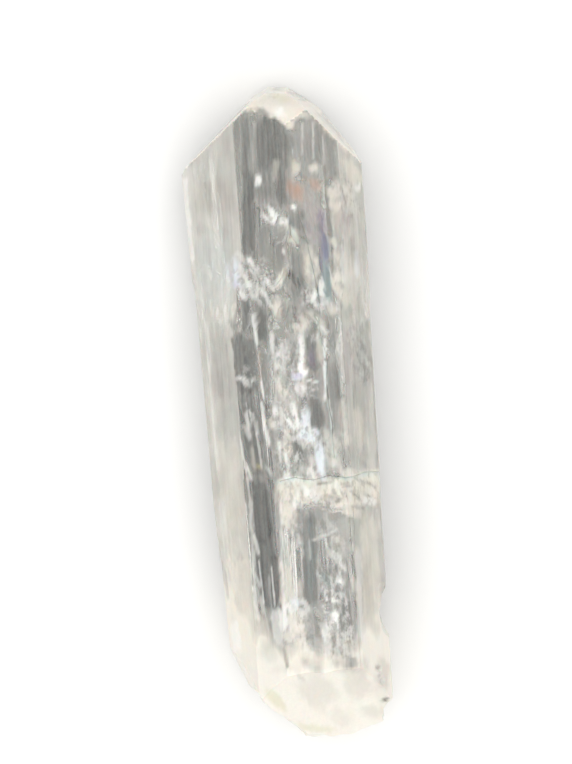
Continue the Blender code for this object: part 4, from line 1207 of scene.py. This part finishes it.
def rainbowMaterial():
    # Its colour follows the place in mm along the crystal
    material, nodes = newMaterial("rainbowCrack")
    place = nodes.place()
    along = nodes.apart(nodes.stretch(place, (1.0, 1.0, 1.0)))[1]
    wave = nodes.noise(place, (0.6, 1.2, 0.6))
    share = (along + (wave - 0.5) * 2).step(*rainbowCrack["along"])
    nodes.surface(nodes.shader({"Base Color": nodes.ramp(share, rainbowCrack["stops"]),
                                "Metallic": 0.9, "Roughness": wave.step(0.3, 0.7, 0.25, 0.4)}))
    return material


def veilGrid(strip, seed):
    # A strip of points about the line between the two ends; its depth is the mean depth plus
    # noise, and a flake of it is left out where noise, less near the strip's rim, is low
    x0, y0, x1, y1, width, share, flake, depth, vary = strip
    length = math.hypot(x1 - x0, y1 - y0)
    rows = max(6, int(length / flakes["spacing"]))
    columns = max(5, int(width / flakes["spacing"]))
    t = np.linspace(0, 1, rows)[:, None] + np.zeros(columns)
    s = np.linspace(-0.5, 0.5, columns)[None, :] + np.zeros((rows, 1))
    x = x0 + (x1 - x0) * t - (y1 - y0) / length * s * width
    y = y0 + (y1 - y0) * t + (x1 - x0) / length * s * width

    def flaky(finer, number, creased=False):
        finer = finer / flake
        return lattice(x * finer, y * finer, flakes["repeat"], seed + number, creased)

    rough = 0.65 * flaky(1.0, 0, True) + 0.35 * flaky(2.3, 1, True)
    points = underSurface(x, y, depth + vary * (rough - 0.5))[0]
    kept = 0.6 * flaky(0.625, 2) + 0.4 * flaky(1.5, 3)
    rim = np.minimum(1, 5 * np.minimum(0.5 - np.abs(s), np.minimum(t, 1 - t) * length / width))
    faces = gridFaces(rows, columns)
    there = (kept - (1 - rim) * flakes["rimRagged"]).reshape(-1)[faces].mean(axis=1)
    return points.reshape(-1, 3), faces[there > 0.72 - 0.6 * share]


def makeVeil(name, veil, material):
    allPoints, allFaces, count = [], [], 0
    for number, strip in enumerate(veil["strips"]):
        points, faces = veilGrid(strip, veil["seed"] + 10 * number)
        used, faces = np.unique(faces, return_inverse=True)
        allPoints.append(points[used])
        allFaces.append(faces.reshape(-1, 4) + count)
        count += len(used)
    piece = addInside(name, np.concatenate(allPoints), np.concatenate(allFaces), material)
    thicken = piece.modifiers.new("thickness", "SOLIDIFY")
    thicken.thickness = flakes["thickness"] * mm
    thicken.offset = 0.0


for name, veil in veils.items():
    makeVeil(name, veil, veilMaterial(veil))
print("veils made")
makeVeil("rainbow_crack", rainbowCrack, rainbowMaterial())
for name, stain in stains.items():
    makeVeil(name, stain, veilMaterial(stain))
print("coloured crack and stains made")


# Floor, light and picture

studio = {
    "floorSize": 4.0,                # m
    "floorGap": 0.04,                # mm of air under the crystal, which lies on its high points
    "floorColour": (0.90, 0.90, 0.895),
    "floorDeeper": 0.99,             # how dark its faint clouds are
    "floorClouds": (40.0, 40.0, 40.0),                    # mm
    # From straight down to straight up, with the horizon in the middle
    "sky": [(0.0, (0.14, 0.14, 0.14)), (0.38, (0.14, 0.14, 0.14)),
            (0.50, (1.60, 1.59, 1.57)), (1.0, (1.60, 1.59, 1.57))],
    "bounces": 24,
    "transparentBounces": 16,
}


def makeFloor():
    half = studio["floorSize"] / 2 / mm
    corners = np.array([(x * half, y * half, -studio["floorGap"])
                        for x, y in ((-1, -1), (1, -1), (1, 1), (-1, 1))])
    material, nodes = newMaterial("paleFloor")
    clouds = nodes.noise(nodes.place(), studio["floorClouds"], 3.0)
    pale = np.array(studio["floorColour"])
    tone = nodes.blend(clouds, colour(*pale), colour(*pale * studio["floorDeeper"]))
    nodes.surface(nodes.shader({"Base Color": tone, "Roughness": 0.9}))
    floor = newObject("floor", newMesh("floor", corners, [(0, 1, 2, 3)]))
    floor.data.materials.append(material)


def makeSky():
    world = bpy.data.worlds.new("studio")
    bpy.context.scene.world = world
    sky = Nodes(world)
    height = sky.apart(sky.add("ShaderNodeTexCoord", output="Generated"))[2]
    tone = sky.ramp(height, studio["sky"])
    light = sky.add("ShaderNodeBackground", None, {"Color": tone, "Strength": 1.0})
    sky.add("ShaderNodeOutputWorld", None, {"Surface": light})


def setPicture():
    scene = bpy.context.scene
    scene.view_settings.view_transform = "Standard"
    scene.cycles.use_denoising = True
    scene.cycles.max_bounces = studio["bounces"]
    scene.cycles.transmission_bounces = studio["bounces"]
    scene.cycles.transparent_max_bounces = studio["transparentBounces"]


makeFloor()
makeSky()
setPicture()
print("studio made")
